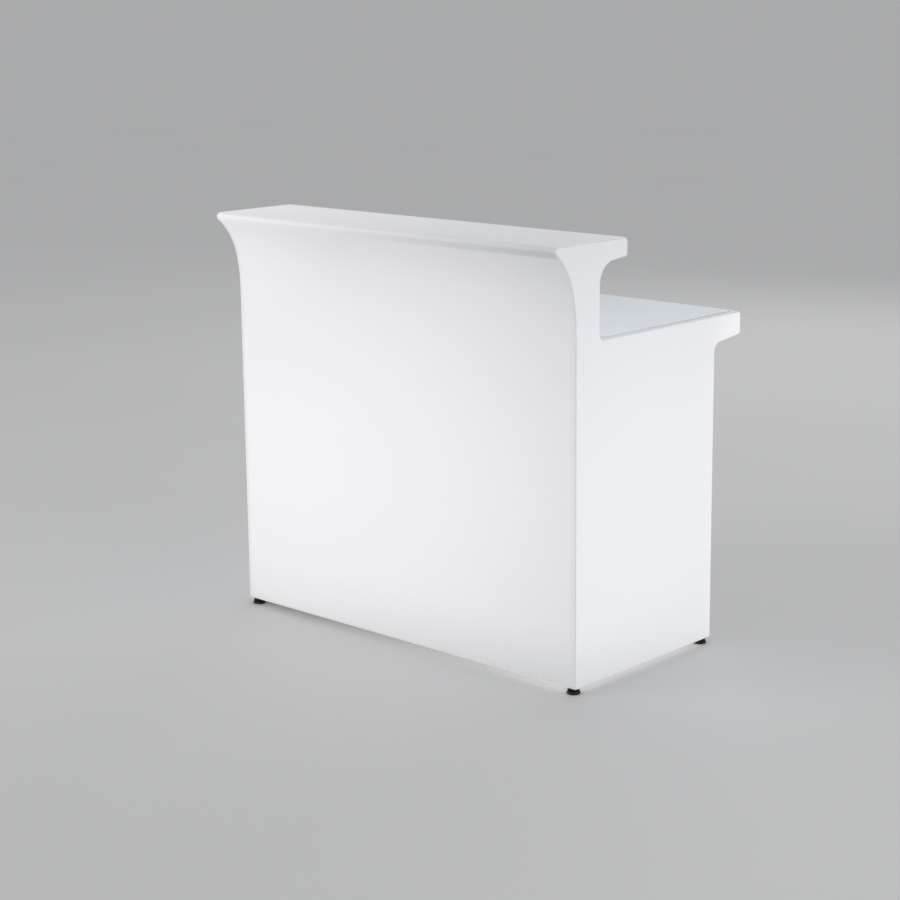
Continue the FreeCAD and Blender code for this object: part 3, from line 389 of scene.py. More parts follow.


# %% [markdown]
# ### Lit polyethylene
# The shell is milky white plastic with its lamps on. It has three parts of light: what the studio
# throws on it, what comes through from the lamps together with painted light and shade, and a faint
# sheen along its outlines, where the slightly rough skin catches light from behind. The part that
# comes through differs from side to side, so it is built up in steps. Each step is a colour and a
# mask that says where it belongs. The front is brightest a little below and left of its middle, and
# the ends a little behind theirs. These places are set away from the lamps, so the glow there is
# partly painted light. One effect gives both, each with its own place and reach.

# %% Light through the front and the ends
endless = 100.0
dark = (0.0, 0.0, 0.0, 1.0)
# painted light as well as lamplight: the front is brightest left of the lamps, the ends behind them
front_light = {"Brightest Place": (-0.38, 0.0, 0.45), "Reach": (1.75, endless, 0.97)}
front_glow = (0.391, 0.382, 0.388, 1.0)
end_light = {"Brightest Place": (0.0, 0.15, 0.42), "Reach": (endless, 1.95, 1.11)}
end_glow = (0.371, 0.372, 0.388, 1.0)


def lit_by(tree, light, colour):
    """The colour of one light on the shell."""
    return mix_colours(tree, use_effect(tree, glow_with_painted_light, light, "Light"), dark, colour)


print("the front is brightest at", front_light["Brightest Place"], "m")

# %% [markdown]
# The tops and the lip of the raised shelf are further from the lamps and glow less. Their glow fades
# evenly from the left end to the right, and that fade is painted light. So a colour for each end is
# enough, mixed by how far along the counter a point is. The light that leaves the underside goes the
# other way.

# %% Light that changes along the counter
half_length = cad_box[1][0]
# painted light: the tops' glow fades from the left end to the right
top_glow_left = (0.235, 0.228, 0.243, 1.0)
top_glow_right = (0.030, 0.028, 0.030, 1.0)
# painted light on the front's lip, bright at the left end
lip_painted_light_left = (0.360, 0.348, 0.354, 1.0)
under_glow_left = (0.12, 0.12, 0.122, 1.0)
under_glow_right = (0.50, 0.50, 0.506, 1.0)


def fading_along(tree, left, right):
    """A glow that changes evenly from the left end to the right."""
    along = fade(tree, own_coordinates(tree)["X"], -half_length, half_length, smooth=False)
    return mix_colours(tree, along, left, right)


print("the counter reaches", round(half_length, 3), "m to each side")

# %% [markdown]
# The bartender's recess glows through its own walls, and its glow is set lower than the outside's:
# painted shade in the recess. Its mask needs the room that the walls enclose. The recess is open at
# the back of the counter and is as wide to the left as to the right, so four rays from the middle of
# the loose shelf find all of its walls. The mask reaches a few millimetres into the walls, so that it
# has no gap.

# %% A mask for the recess
# painted shade: the recess glows less than the outside
recess_glow = (0.20, 0.20, 0.205, 1.0)
room_near = 0.002
room_far = 0.005
ways = {
    "side": (1.0, 0.0, 0.0),
    "back": (0.0, -1.0, 0.0),
    "floor": (0.0, 0.0, -1.0),
    "ceiling": (0.0, 0.0, 1.0),
}


def surface_of(name):
    """The faces of a piece, ready for rays to be cast against them."""
    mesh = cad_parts[name].data
    corners = [corner.co for corner in mesh.vertices]
    return BVHTree.FromPolygons(corners, [face.vertices for face in mesh.polygons])


def walls_of_recess():
    """How far out the recess's side, back, floor and ceiling are."""
    shell = surface_of("body_shell")
    low, high = (Vector(corner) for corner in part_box("storage_shelf"))
    spots = {name: shell.ray_cast((low + high) / 2, Vector(way))[0] for name, way in ways.items()}
    return spots["side"].x, spots["back"].y, spots["floor"].z, spots["ceiling"].z


side, back, floor_height, ceiling = walls_of_recess()


def in_recess(tree, place):
    """1 on the walls of the recess, and 0 elsewhere."""
    outwards = calculate(tree, "ABSOLUTE", place["X"])
    between_ends = fade(tree, outwards, side + room_near, side + room_far, 1.0, 0.0)
    behind_back = fade(tree, place["Y"], back - room_far, back - room_near)
    over_floor = fade(tree, place["Z"], floor_height - room_far, floor_height - room_near)
    under_ceiling = fade(tree, place["Z"], ceiling + room_near, ceiling + room_far, 1.0, 0.0)
    along = calculate(tree, "MULTIPLY", between_ends, behind_back)
    return calculate(tree, "MULTIPLY", along, calculate(tree, "MULTIPLY", over_floor, under_ceiling))


print("the recess goes from", round(floor_height, 3), "to", round(ceiling, 3), "m")

# %% [markdown]
# Some places get painted shade and are darker than the sides they belong to. The corners have their
# own effect. The front and back darken a little just before they turn into the ends. The lowest part
# of the front is shaded too, more at the right than at the left.

# %% Shade beside the ends and near the floor
# painted shade: the dim glow that is mixed in on the corners, beside the ends and low down
painted_shade_glow = (0.10, 0.10, 0.11, 1.0)
shade_start = half_length - 0.020
shade_end = half_length - 0.007
shade_strength = 0.35
flat_to_front = 0.1
turned_to_end = 0.4
low_shade_top = 0.18
low_shade_left = 0.15
low_shade_right = 0.62


def shade_beside_ends(tree, outwards, sideways):
    """A soft painted shade on the front and back, just before they turn into the ends."""
    beside = fade(tree, outwards, shade_start, shade_end, 0.0, shade_strength)
    facing_front = fade(tree, sideways, flat_to_front, turned_to_end, 1.0, 0.0)
    return calculate(tree, "MULTIPLY", beside, facing_front)


def low_shade(tree, place):
    """A painted shade that is strongest at the floor, and stronger at the right than at the left."""
    strength = fade(tree, place["X"], -half_length, half_length, low_shade_left, low_shade_right)
    return calculate(tree, "MULTIPLY", fade(tree, place["Z"], 0.0, low_shade_top, 1.0, 0.0), strength)


print("the low shade ends at", low_shade_top, "m")

# %% [markdown]
# The lips get painted light. The front's lip is bright at the left end and fades to nothing at the
# right, and some of that painted light is spread over the upper left of the front below it. At the
# ends the rear lip is painted brighter than the wall it stands out from.

# %% The glow of the front with its lip
lip_place = cad_box[0][1]
lip_start = lip_place + 0.018
lip_end = lip_place + 0.011
upper_left_foot = 0.70
upper_left_top = 0.95
upper_left_reach = -0.15
upper_left_strength = 0.7


def upper_left(tree, place):
    """How much of the lip's painted light is spread over the front below it."""
    high = fade(tree, place["Z"], upper_left_foot, upper_left_top, 0.0, upper_left_strength)
    leftwards = fade(tree, place["X"], -half_length, upper_left_reach, 1.0, 0.0)
    return calculate(tree, "MULTIPLY", high, leftwards)


def front_and_lip(tree, place, low):
    """The glow of the front, with the lip of the raised shelf over it."""
    front = lit_by(tree, front_light, front_glow)
    front = mix_colours(tree, upper_left(tree, place), front, lip_painted_light_left)
    front = mix_colours(tree, low, front, painted_shade_glow)
    at_lip = fade(tree, place["Y"], lip_start, lip_end)
    return mix_colours(tree, at_lip, front, fading_along(tree, lip_painted_light_left, dark))


print("the lip begins at", round(lip_start, 3), "m")

# %% The glow of the ends with the rear lip
low_end_share = 0.8
# painted light on the rear lip at the ends
rear_lip_painted_light = (0.41, 0.40, 0.405, 1.0)
rear_lip_end = cad_box[1][1]
rear_lip_start = rear_lip_end - 0.18


def both_ends(tree, place, low):
    """The glow of the ends: with painted shade low down near the front, and painted light at the rear
    lip.
    """
    near_front = fade(tree, place["Y"], lip_place, -lip_place, low_end_share, 0.0, smooth=False)
    low_end = calculate(tree, "MULTIPLY", low, near_front)
    end = mix_colours(tree, low_end, lit_by(tree, end_light, end_glow), painted_shade_glow)
    at_rear_lip = fade(tree, place["Y"], rear_lip_start, rear_lip_end)
    return mix_colours(tree, at_rear_lip, end, rear_lip_painted_light)


print("the rear lip ends at", round(rear_lip_end, 3), "m")

# %% [markdown]
# Now the steps are laid over each other, from the widest side to the smallest: the front, the ends,
# the tops, the recess, the underside, and at last the shades. Each mask has a soft border where one
# side rounds into the next. The light out of the underside is what draws the bright line on the
# floor beside the counter, and only the lowest millimetres glow so strongly.

# %% Put the glow together
under_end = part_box("body_shell")[0][2] + 0.001
under_start = under_end + 0.004
end_begins = 0.5
end_is_full = 0.9
top_begins = 0.3
top_is_full = 0.95
corner_narrowness = 0.6


def shell_glow(tree):
    """All the light that comes through the shell, with its painted light and shade."""
    facing = own_facing(tree)
    place = own_coordinates(tree)
    sideways = calculate(tree, "ABSOLUTE", facing["X"])
    low = low_shade(tree, place)
    at_end = fade(tree, sideways, end_begins, end_is_full)
    glow = mix_colours(tree, at_end, front_and_lip(tree, place, low), both_ends(tree, place, low))
    above = fade(tree, facing["Z"], top_begins, top_is_full)
    glow = mix_colours(tree, above, glow, fading_along(tree, top_glow_left, top_glow_right))
    glow = mix_colours(tree, in_recess(tree, place), glow, recess_glow)
    under = fade(tree, place["Z"], under_start, under_end)
    glow = mix_colours(tree, under, glow, fading_along(tree, under_glow_left, under_glow_right))
    corner = use_effect(tree, painted_corner_shade, {"Narrowness": corner_narrowness}, "Corner")
    outwards = calculate(tree, "ABSOLUTE", place["X"])
    shade = calculate(tree, "MAXIMUM", corner, shade_beside_ends(tree, outwards, sideways))
    return mix_colours(tree, shade, glow, painted_shade_glow)


print("the underside glows up to", round(under_start, 3), "m")

# %% [markdown]
# The rest of the finish is plain moulded plastic: a nearly white colour that is greyer where dust
# lies near the floor, wiped patches in its shine, and a soft waviness.

# %% Make the lit polyethylene
shell_white = (0.80, 0.81, 0.82, 1.0)
shell_dusty = (0.68, 0.68, 0.67, 1.0)


def lit_polyethylene():
    """Milky plastic that glows with the lamps behind it, with painted light and shade in its glow."""
    material, tree, shader = start_finish("lit_polyethylene")
    dust = use_effect(tree, floor_dust, {"Height": 0.06, "Patch Scale": 25.0}, "Dust")
    rough = {"Roughness": 0.42, "Spread": 0.08, "Patch Scale": 5.0, "Scratch Scale": 30.0}
    skin = {"Wave Scale": 7.0, "Grain Scale": 900.0, "Grain Share": 0.02}
    set_shader(tree, shader, {
        "Base Color": mix_colours(tree, dust, shell_white, shell_dusty),
        "Roughness": use_effect(tree, handling, rough, "Roughness"),
        "Emission Color": shell_glow(tree),
        "Emission Strength": 1.0,
        "Sheen Weight": 0.45,
        "Sheen Roughness": 0.35,
    })
    waviness = use_effect(tree, moulded_skin, skin, "Height")
    raise_surface(tree, shader, waviness, strength=0.3, distance=0.001)
    return material


finish_pieces(lit_polyethylene(), "body_shell")

# %% [markdown]
# ### Satin glass
# The panel in the worktop is toughened glass, etched on its underside. It shows the glowing plastic
# below it as a cool grey, a little green, and its edges are deeper in colour because one looks along
# The glass is given a painted glow for the light of the plastic below it. That light is weaker
# towards the bartender's side, so a second mask mixes a brighter and a dimmer glow by how far back a
# point is.

# %% Make the satin glass
glass_face = (0.78, 0.83, 0.87, 1.0)
glass_edge = (0.58, 0.68, 0.68, 1.0)
# painted light: the glass glows for the light of the plastic below
lit_in_front = (0.122, 0.125, 0.129, 1.0)
lit_behind = (0.05, 0.052, 0.053, 1.0)


def satin_glass():
    """Etched glass with green edges and a polished top."""
    material, tree, shader = start_finish("satin_glass")
    flat = calculate(tree, "ABSOLUTE", own_facing(tree)["Z"])
    edge = fade(tree, flat, 0.25, 0.95, 1.0, 0.0)
    low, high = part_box("worktop_glass")
    from_front = fade(tree, own_coordinates(tree)["Y"], low[1], high[1], smooth=False)
    rough = {"Roughness": 0.42, "Spread": 0.10, "Patch Scale": 9.0, "Scratch Scale": 25.0}
    set_shader(tree, shader, {
        "Base Color": mix_colours(tree, edge, glass_face, glass_edge),
        "Roughness": use_effect(tree, handling, rough, "Roughness"),
        "Transmission Weight": 0.12,
        "IOR": 1.4,
        "Emission Color": mix_colours(tree, from_front, lit_in_front, lit_behind),
        "Emission Strength": 1.0,
    })
    etching = noise(tree, own_place(tree), scale=1500.0, detail=2.0)
    raise_surface(tree, shader, etching, strength=0.1, distance=0.0002)
    return material


finish_pieces(satin_glass(), "worktop_glass")

# %% [markdown]
# ### Black nylon
# The feet are black nylon mouldings. Black plastic shows its grain and the dust on it more than its
# colour, so both effects are placed with stronger values than on the shell.

# %% Make the black nylon
nylon_black = (0.006, 0.006, 0.007, 1.0)
nylon_dusty = (0.030, 0.029, 0.028, 1.0)


def black_nylon():
    """Grained black moulding, dusty near the floor."""
    material, tree, shader = start_finish("black_nylon")
    dust = use_effect(tree, floor_dust, {"Height": 0.012, "Patch Scale": 300.0}, "Dust")
    rough = {"Roughness": 0.45, "Spread": 0.15, "Patch Scale": 120.0, "Scratch Scale": 300.0}
    skin = {"Wave Scale": 60.0, "Grain Scale": 2500.0, "Grain Share": 1.0}
    set_shader(tree, shader, {
        "Base Color": mix_colours(tree, dust, nylon_black, nylon_dusty),
        "Roughness": use_effect(tree, handling, rough, "Roughness"),
        "Specular IOR Level": 0.3,
    })
    grain = use_effect(tree, moulded_skin, skin, "Height")
    raise_surface(tree, shader, grain, strength=0.4, distance=0.0002)
    return material


foot_names = ["front_left", "front_right", "rear_left", "rear_right"]
finish_pieces(black_nylon(), *["foot_pad_" + name for name in foot_names])

# %% [markdown]
# ### A recipe for small mouldings
# The lampholders, the inlet, the wires and the soles are all moulded, and differ only in colour, shine
# and grain. The recipe takes two colours: the fresh one, and the one that dust, heat or hands have
# turned it to in soft patches.

# %% The recipe for mouldings
def moulding(name, fresh, aged, patch_scale, roughness, grain_scale, relief):
    """A moulded finish whose colour shifts in soft patches from fresh to aged."""
    material, tree, shader = start_finish(name)
    patches = noise(tree, own_place(tree), patch_scale, detail=5.0)
    rough = {"Roughness": roughness, "Spread": 0.12, "Patch Scale": patch_scale, "Scratch Scale": 400.0}
    skin = {"Wave Scale": patch_scale, "Grain Scale": grain_scale, "Grain Share": 0.6}
    set_shader(tree, shader, {
        "Base Color": mix_colours(tree, fade(tree, patches, 0.45, 0.75), fresh, aged),
        "Roughness": use_effect(tree, handling, rough, "Roughness"),
    })
    grain = use_effect(tree, moulded_skin, skin, "Height")
    raise_surface(tree, shader, grain, strength=relief, distance=0.0002)
    return material, tree, shader


def plain_moulding(name, **values):
    """A moulded finish that needs nothing more."""
    material, _, _ = moulding(name, **values)
    return material


print("mouldings share a recipe")

# %% [markdown]
# Heat yellows white plastic near a lamp, and a terminal block is made of the same material as a
# lampholder.

# %% Make the white plastic
white_plastic = plain_moulding(
    "white_plastic",
    fresh=(0.78, 0.78, 0.75, 1.0),
    aged=(0.74, 0.71, 0.62, 1.0),
    patch_scale=45.0,
    roughness=0.35,
    grain_scale=2500.0,
    relief=0.2,
)
finish_pieces(white_plastic, "lamp_holders", "terminal_block")

# %% [markdown]
# The inlet and its fuse drawer are black plastic with a spark-eroded grain, and fingers and plugs
# leave it greyer in places.

# %% Make the black plastic
black_plastic = plain_moulding(
    "black_plastic",
    fresh=(0.012, 0.012, 0.013, 1.0),
    aged=(0.035, 0.034, 0.033, 1.0),
    patch_scale=90.0,
    roughness=0.48,
    grain_scale=3200.0,
    relief=0.5,
)
finish_pieces(black_plastic, "inlet_body", "fuse_drawer")

# %% [markdown]
# A rocker is polished in the mould, so that the finger slides on it. It gets a clear coat over a
# nearly smooth black.

# %% Make the glossy black plastic
def black_gloss_plastic():
    """Polished black moulding with finger marks."""
    material, tree, shader = moulding(
        "black_gloss_plastic",
        fresh=(0.010, 0.010, 0.011, 1.0),
        aged=(0.022, 0.021, 0.021, 1.0),
        patch_scale=160.0,
        roughness=0.22,
        grain_scale=900.0,
        relief=0.05,
    )
    set_shader(tree, shader, {"Coat Weight": 0.5, "Coat Roughness": 0.08})
    return material


finish_pieces(black_gloss_plastic(), "rocker_switch")

# %% [markdown]
# The soles are rubber: matte, and greyed by the floor.

# %% Make the black rubber
black_rubber = plain_moulding(
    "black_rubber",
    fresh=(0.016, 0.016, 0.016, 1.0),
    aged=(0.060, 0.058, 0.055, 1.0),
    patch_scale=140.0,
    roughness=0.75,
    grain_scale=1800.0,
    relief=0.6,
)
finish_pieces(black_rubber, *["foot_sole_" + name for name in foot_names])

# %% [markdown]
# The wires' insulation is soft and slightly shiny, with chalky rubs where they were pulled in.

# %% Make the grey cable
grey_cable = plain_moulding(
    "grey_cable",
    fresh=(0.17, 0.18, 0.19, 1.0),
    aged=(0.27, 0.27, 0.27, 1.0),
    patch_scale=70.0,
    roughness=0.40,
    grain_scale=1200.0,
    relief=0.15,
)
finish_pieces(grey_cable, "lamp_wires", "supply_wires")

# %% [markdown]
# The tray is folded sheet with a baked white enamel. Enamel sprayed on sheet dries with a fine
# orange-peel waviness, which here is a large grain with little relief.

# %% Make the white enamel
def white_enamel():
    """Baked enamel with an orange-peel surface."""
    material, tree, shader = moulding(
        "white_enamel",
        fresh=(0.80, 0.80, 0.78, 1.0),
        aged=(0.76, 0.75, 0.72, 1.0),
        patch_scale=14.0,
        roughness=0.30,
        grain_scale=450.0,
        relief=0.25,
    )
    set_shader(tree, shader, {"Coat Weight": 0.3, "Coat Roughness": 0.15})
    return material


finish_pieces(white_enamel(), "gear_tray")

# %% [markdown]
# The discs under the glass and the shelf are clear silicone. They let light through, but a soft
# frosted skin scatters it.

# %% Make the clear silicone
def clear_silicone():
    """Frosted clear silicone."""
    material, tree, shader = moulding(
        "clear_silicone",
        fresh=(0.84, 0.87, 0.89, 1.0),
        aged=(0.78, 0.79, 0.77, 1.0),
        patch_scale=120.0,
        roughness=0.38,
        grain_scale=1500.0,
        relief=0.1,
    )
    set_shader(tree, shader, {"Transmission Weight": 0.7, "IOR": 1.41})
    return material


finish_pieces(clear_silicone(), "glass_pads", "shelf_pads")

# %% [markdown]
# ### The service hatch
# The hatch is cut from the same milky plastic as the shell, and the lamps hang right behind it. Their
# tray throws a shadow on it, so it glows along its edges and is dim in the middle. The mask compares
# a point's place with the hatch's own middle and half sizes, read from its box.

# %% Make the white polyethylene
tray_shadow_share = 0.62
hatch_glow = (0.20, 0.20, 0.205, 1.0)
hatch_shadow = (0.09, 0.09, 0.093, 1.0)


def white_polyethylene():
    """Milky sheet that glows round the shadow of the tray behind it."""
    low, high = (Vector(corner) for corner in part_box("hatch_panel"))
    middle = (low + high) / 2
    half = (high - low) / 2
    material, tree, shader = moulding(
        "white_polyethylene",
        fresh=(0.80, 0.81, 0.82, 1.0),
        aged=(0.76, 0.76, 0.75, 1.0),
        patch_scale=9.0,
        roughness=0.42,
        grain_scale=900.0,
        relief=0.1,
    )
    place = own_coordinates(tree)
    lit = []
    for axis, centre, size in (("X", middle.x, half.x), ("Z", middle.z, half.z)):
        away = calculate(tree, "ABSOLUTE", calculate(tree, "SUBTRACT", place[axis], centre))
        lit.append(fade(tree, away, tray_shadow_share * size, size))
    glow = mix_colours(tree, calculate(tree, "MAXIMUM", *lit), hatch_shadow, hatch_glow)
    set_shader(tree, shader, {"Emission Color": glow, "Emission Strength": 1.0})
    return material


finish_pieces(white_polyethylene(), "hatch_panel")

# %% [markdown]
# The gasket is closed-cell foam, so its surface is a mass of tiny bubbles. A Voronoi texture draws
# cells, and their distance gives both the relief and the painted shade in the hollows.

# %% Make the grey foam
# painted shade in the hollows of the bubbles
foam_hollow_shade = (0.028, 0.028, 0.030, 1.0)
foam_skin = (0.075, 0.075, 0.078, 1.0)


def grey_foam():
    """Closed-cell foam."""
    material, tree, shader = start_finish("grey_foam")
    cells = {"Vector": own_place(tree), "Scale": 900.0}
    bubbles = add_node(tree, "TexVoronoi", cells).outputs["Distance"]
    set_shader(tree, shader, {
        "Base Color": mix_colours(tree, bubbles, foam_hollow_shade, foam_skin),
        "Roughness": fade(tree, bubbles, 0.0, 1.0, 0.80, 0.95),
    })
    raise_surface(tree, shader, bubbles, strength=0.8, distance=0.0004)
    return material


finish_pieces(grey_foam(), "hatch_gasket")

# %% [markdown]
# ### White laminate
# The loose shelf is compact laminate: white paper faces over a dark resin core, which shows along
# every edge. Faces point up or down and edges don't, so the same kind of mask as on the glass tells
# them apart. Bottles leave grey rubs on the faces, long in the direction that they are pushed.

# %% Make the white laminate
laminate_white = (0.78, 0.78, 0.76, 1.0)
laminate_rubbed = (0.62, 0.62, 0.60, 1.0)
laminate_core = (0.035, 0.026, 0.020, 1.0)


def white_laminate():
    """White faces with grey rubs, and a dark core along the edges."""
    material, tree, shader = start_finish("white_laminate")
    flat = calculate(tree, "ABSOLUTE", own_facing(tree)["Z"])
    edge = fade(tree, flat, 0.80, 0.95, 1.0, 0.0, smooth=False)
    stretch = add_node(tree, "Mapping", {"Vector": own_place(tree), "Scale": (40.0, 4.0, 40.0)})
    rubs = noise(tree, stretch.outputs["Vector"], scale=1.0, detail=6.0)
    rubbed = fade(tree, rubs, 0.55, 0.80)
    face = mix_colours(tree, rubbed, laminate_white, laminate_rubbed)
    rough = {"Roughness": 0.30, "Spread": 0.14, "Patch Scale": 7.0, "Scratch Scale": 40.0}
    skin = {"Wave Scale": 3.0, "Grain Scale": 1400.0, "Grain Share": 0.5}
    set_shader(tree, shader, {
        "Base Color": mix_colours(tree, edge, face, laminate_core),
        "Roughness": use_effect(tree, handling, rough, "Roughness"),
    })
    grain = use_effect(tree, moulded_skin, skin, "Height")
    raise_surface(tree, shader, grain, strength=0.15, distance=0.0002)
    return material


finish_pieces(white_laminate(), "storage_shelf")

# %% [markdown]
# ### A recipe for metals
# Each metal piece is clean in some places and tarnished in others, with tool marks that catch the
# light. The marks raise the surface a little and also make it duller and shinier in turns.

# %% The recipe for metals
mark_shine = 0.07


def metal(name, clean, tarnished, roughness, lines):
    """Worked metal with fine tool marks and soft patches of tarnish."""
    material, tree, shader = start_finish(name)
    patches = noise(tree, own_place(tree), scale=110.0, detail=4.0)
    tone = use_effect(tree, tool_marks, {"Lines": lines}, "Tone")
    height = use_effect(tree, tool_marks, {"Lines": lines}, "Height")
    set_shader(tree, shader, {
        "Base Color": mix_colours(tree, fade(tree, patches, 0.45, 0.80), clean, tarnished),
        "Roughness": fade(tree, tone, 0.0, 1.0, roughness - mark_shine, roughness + mark_shine),
        "Metallic": 1.0,
    })
    raise_surface(tree, shader, height, strength=0.3, distance=0.0001)
    return material


print("metals share a recipe")

# %% [markdown]
# The screws and nuts are bright stainless steel. The heads were cold-formed and then tumbled, so the
# marks are short and go every way.

# %% Make the stainless steel
stainless_steel = metal(
    "stainless_steel",
    clean=(0.56, 0.56, 0.57, 1.0),
    tarnished=(0.42, 0.42, 0.42, 1.0),
    roughness=0.26,
    lines=(1800.0, 1800.0, 1800.0),
)
finish_pieces(stainless_steel, "hatch_screws", "tray_screws", "inlet_screws", "inlet_nuts")

# %% [markdown]
# Bushes, pillars, blades and clamping screws are brass, turned or drawn, and brown where it was
# touched.

# %% Make the brass
brass = metal(
    "brass",
    clean=(0.62, 0.43, 0.17, 1.0),
    tarnished=(0.36, 0.23, 0.10, 1.0),
    roughness=0.30,
    lines=(300.0, 2600.0, 300.0),
)
finish_pieces(brass, "hatch_inserts", "tray_spacers", "terminal_screws", "inlet_pins", "foot_inserts")

# %% [markdown]
# The tubes' end caps are satin aluminium, turned along the tube's own length.

# %% Make the aluminium
aluminium = metal(
    "aluminium",
    clean=(0.70, 0.70, 0.71, 1.0),
    tarnished=(0.55, 0.55, 0.56, 1.0),
    roughness=0.36,
    lines=(2600.0, 200.0, 200.0),
)
finish_pieces(aluminium, "lamp_caps")

# %% [markdown]
# The feet's screws and rings are steel under black zinc. It wears brown where a hand turns the
# wheel.

# %% Make the black steel
black_steel = metal(
    "black_steel",
    clean=(0.020, 0.020, 0.022, 1.0),
    tarnished=(0.060, 0.050, 0.042, 1.0),
    roughness=0.42,
    lines=(300.0, 300.0, 3000.0),
)
finish_pieces(black_steel, "foot_lock_rings", *["foot_stem_" + name for name in foot_names])

# %% [markdown]
# ### The lamp tubes
# An LED tube is a strip of lamps behind an opal cover. The strip looks to the customer's side, so
# that side of the cover is the brightest, and the cover darkens a little towards its two caps, where
# the strip ends.

# %% Make the opal diffuser
strip_end_share = 0.93
tube_bright = (1.00, 0.99, 0.96, 1.0)
tube_dim = (0.50, 0.50, 0.49, 1.0)


def opal_diffuser():
    """Opal plastic, lit from a strip of lamps inside."""
    half_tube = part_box("lamp_tubes")[1][0]
    material, tree, shader = moulding(
        "opal_diffuser",
        fresh=(0.86, 0.86, 0.84, 1.0),
        aged=(0.82, 0.81, 0.78, 1.0),
        patch_scale=30.0,
        roughness=0.30,
        grain_scale=1500.0,
        relief=0.05,
    )
    outwards = calculate(tree, "ABSOLUTE", own_coordinates(tree)["X"])
    along = fade(tree, outwards, strip_end_share * half_tube, half_tube, 1.0, 0.0)
    towards_front = fade(tree, own_facing(tree)["Y"], -0.8, 0.8, 1.0, 0.2)
    lit = calculate(tree, "MULTIPLY", along, towards_front)
    glow = mix_colours(tree, lit, tube_dim, tube_bright)
    set_shader(tree, shader, {"Emission Color": glow, "Emission Strength": 1.6})
    return material


finish_pieces(opal_diffuser(), "lamp_tubes")

# %% [markdown]
# ### The fuse
# A cartridge fuse is a glass tube with a nickel cap on each end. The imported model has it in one
# finish, so the glass goes on all of it, and two thin caps are turned in mesh code and pushed over
# the ends. They sit in the fuse carrier and come out with it.

# %% Make the glass and the nickel
glass_clear = (0.86, 0.88, 0.87, 1.0)
glass_smoked = (0.66, 0.68, 0.66, 1.0)


def fuse_glass():
    """Clear glass, a little smoked in places."""
    material, tree, shader = start_finish("fuse_glass")
    smoke = noise(tree, own_place(tree), scale=500.0, detail=2.0)
    set_shader(tree, shader, {
        "Base Color": mix_colours(tree, fade(tree, smoke, 0.4, 0.8), glass_clear, glass_smoked),
        "Roughness": fade(tree, smoke, 0.3, 0.8, 0.04, 0.12),
        "Transmission Weight": 0.8,
        "IOR": 1.5,
    })
    return material


def nickel():
    """Bright nickel plate on drawn caps."""
    return metal(
        "nickel",
        clean=(0.62, 0.59, 0.53, 1.0),
        tarnished=(0.46, 0.43, 0.38, 1.0),
        roughness=0.20,
        lines=(400.0, 400.0, 3600.0),
    )


finish_pieces(fuse_glass(), "fuse_link")

# %% A helper for new objects
def object_from(shape, name, material):
    """Turns a finished bmesh into an object of the scene."""
    mesh = bpy.data.meshes.new(name)
    shape.to_mesh(mesh)
    shape.free()
    mesh.materials.append(material)
    piece = bpy.data.objects.new(name, mesh)
    bpy.context.scene.collection.objects.link(piece)
    return piece


print("a bmesh becomes an object in one call")

# %% A helper for turned pieces
round_steps = 32
same_spot = 0.000003


def turned_shell(name, outline, axis_place, material):
    """A thin surface made by turning an outline of (radius, height) about an upright axis."""
    shape = bmesh.new()
    spots = [shape.verts.new((radius, 0.0, height)) for radius, height in outline]
    sides = [shape.edges.new(pair) for pair in zip(spots, spots[1:])]
    bmesh.ops.spin(
        shape, geom=spots + sides, axis=(0, 0, 1), cent=(0, 0, 0), angle=2 * math.pi, steps=round_steps
    )
    bmesh.ops.remove_doubles(shape, verts=shape.verts, dist=same_spot)
    bmesh.ops.translate(shape, verts=shape.verts, vec=axis_place)
    bmesh.ops.recalc_face_normals(shape, faces=shape.faces)
    for face in shape.faces:
        face.smooth = True
    return object_from(shape, name, material)


print("turned pieces have", round_steps, "sides")

# %% Push the caps over the fuse's ends
cap_share = 0.25
cap_wall = 0.00003
cap_rim_round = 0.0003


def cap_the_fuse():
    """One drawn cap over each end of the fuse."""
    low, high = (Vector(corner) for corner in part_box("fuse_link"))
    axis_place = Vector(((low.x + high.x) / 2, (low.y + high.y) / 2, 0.0))
    radius = (high.x - low.x) / 2 + cap_wall
    length = cap_share * (high.z - low.z)
    plate = nickel()
    caps = (("fuse_cap_low", low.z - cap_wall, 1), ("fuse_cap_high", high.z + cap_wall, -1))
    for name, end, inwards in caps:
        outline = [
            (0.0, end),
            (radius - cap_rim_round, end),
            (radius, end + inwards * cap_rim_round),
            (radius, end + inwards * length),
        ]
        cap = turned_shell(name, outline, axis_place, plate)
        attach(cap, "fuse_carrier")
        print(name, "is", round(length * 1000, 1), "mm long")


cap_the_fuse()

# %% [markdown]
# ### Marks on the rocker
# A line for on and a ring for off are printed on the rocker in white. Each is a strip of quads
# between pairs of places on the rocker's front. A ray from outside finds the rocker's surface at each
# place, so the print follows its curve, and it is set off by the thickness of paint.

# %% Make the white print
print_white = (0.75, 0.75, 0.73, 1.0)
print_thin = (0.45, 0.45, 0.44, 1.0)


def white_print():
    """White pad print, thin in places."""
    material, tree, shader = start_finish("white_print")
    grain = noise(tree, own_place(tree), scale=4000.0, detail=2.0)
    set_shader(tree, shader, {
        "Base Color": mix_colours(tree, fade(tree, grain, 0.5, 0.9), print_white, print_thin),
        "Roughness": fade(tree, grain, 0.0, 1.0, 0.45, 0.65),
    })
    return material


paint = white_print()
print(paint.name, "is ready")

# %% Print one mark
paint_thickness = 0.00003
mark_height = 0.0034


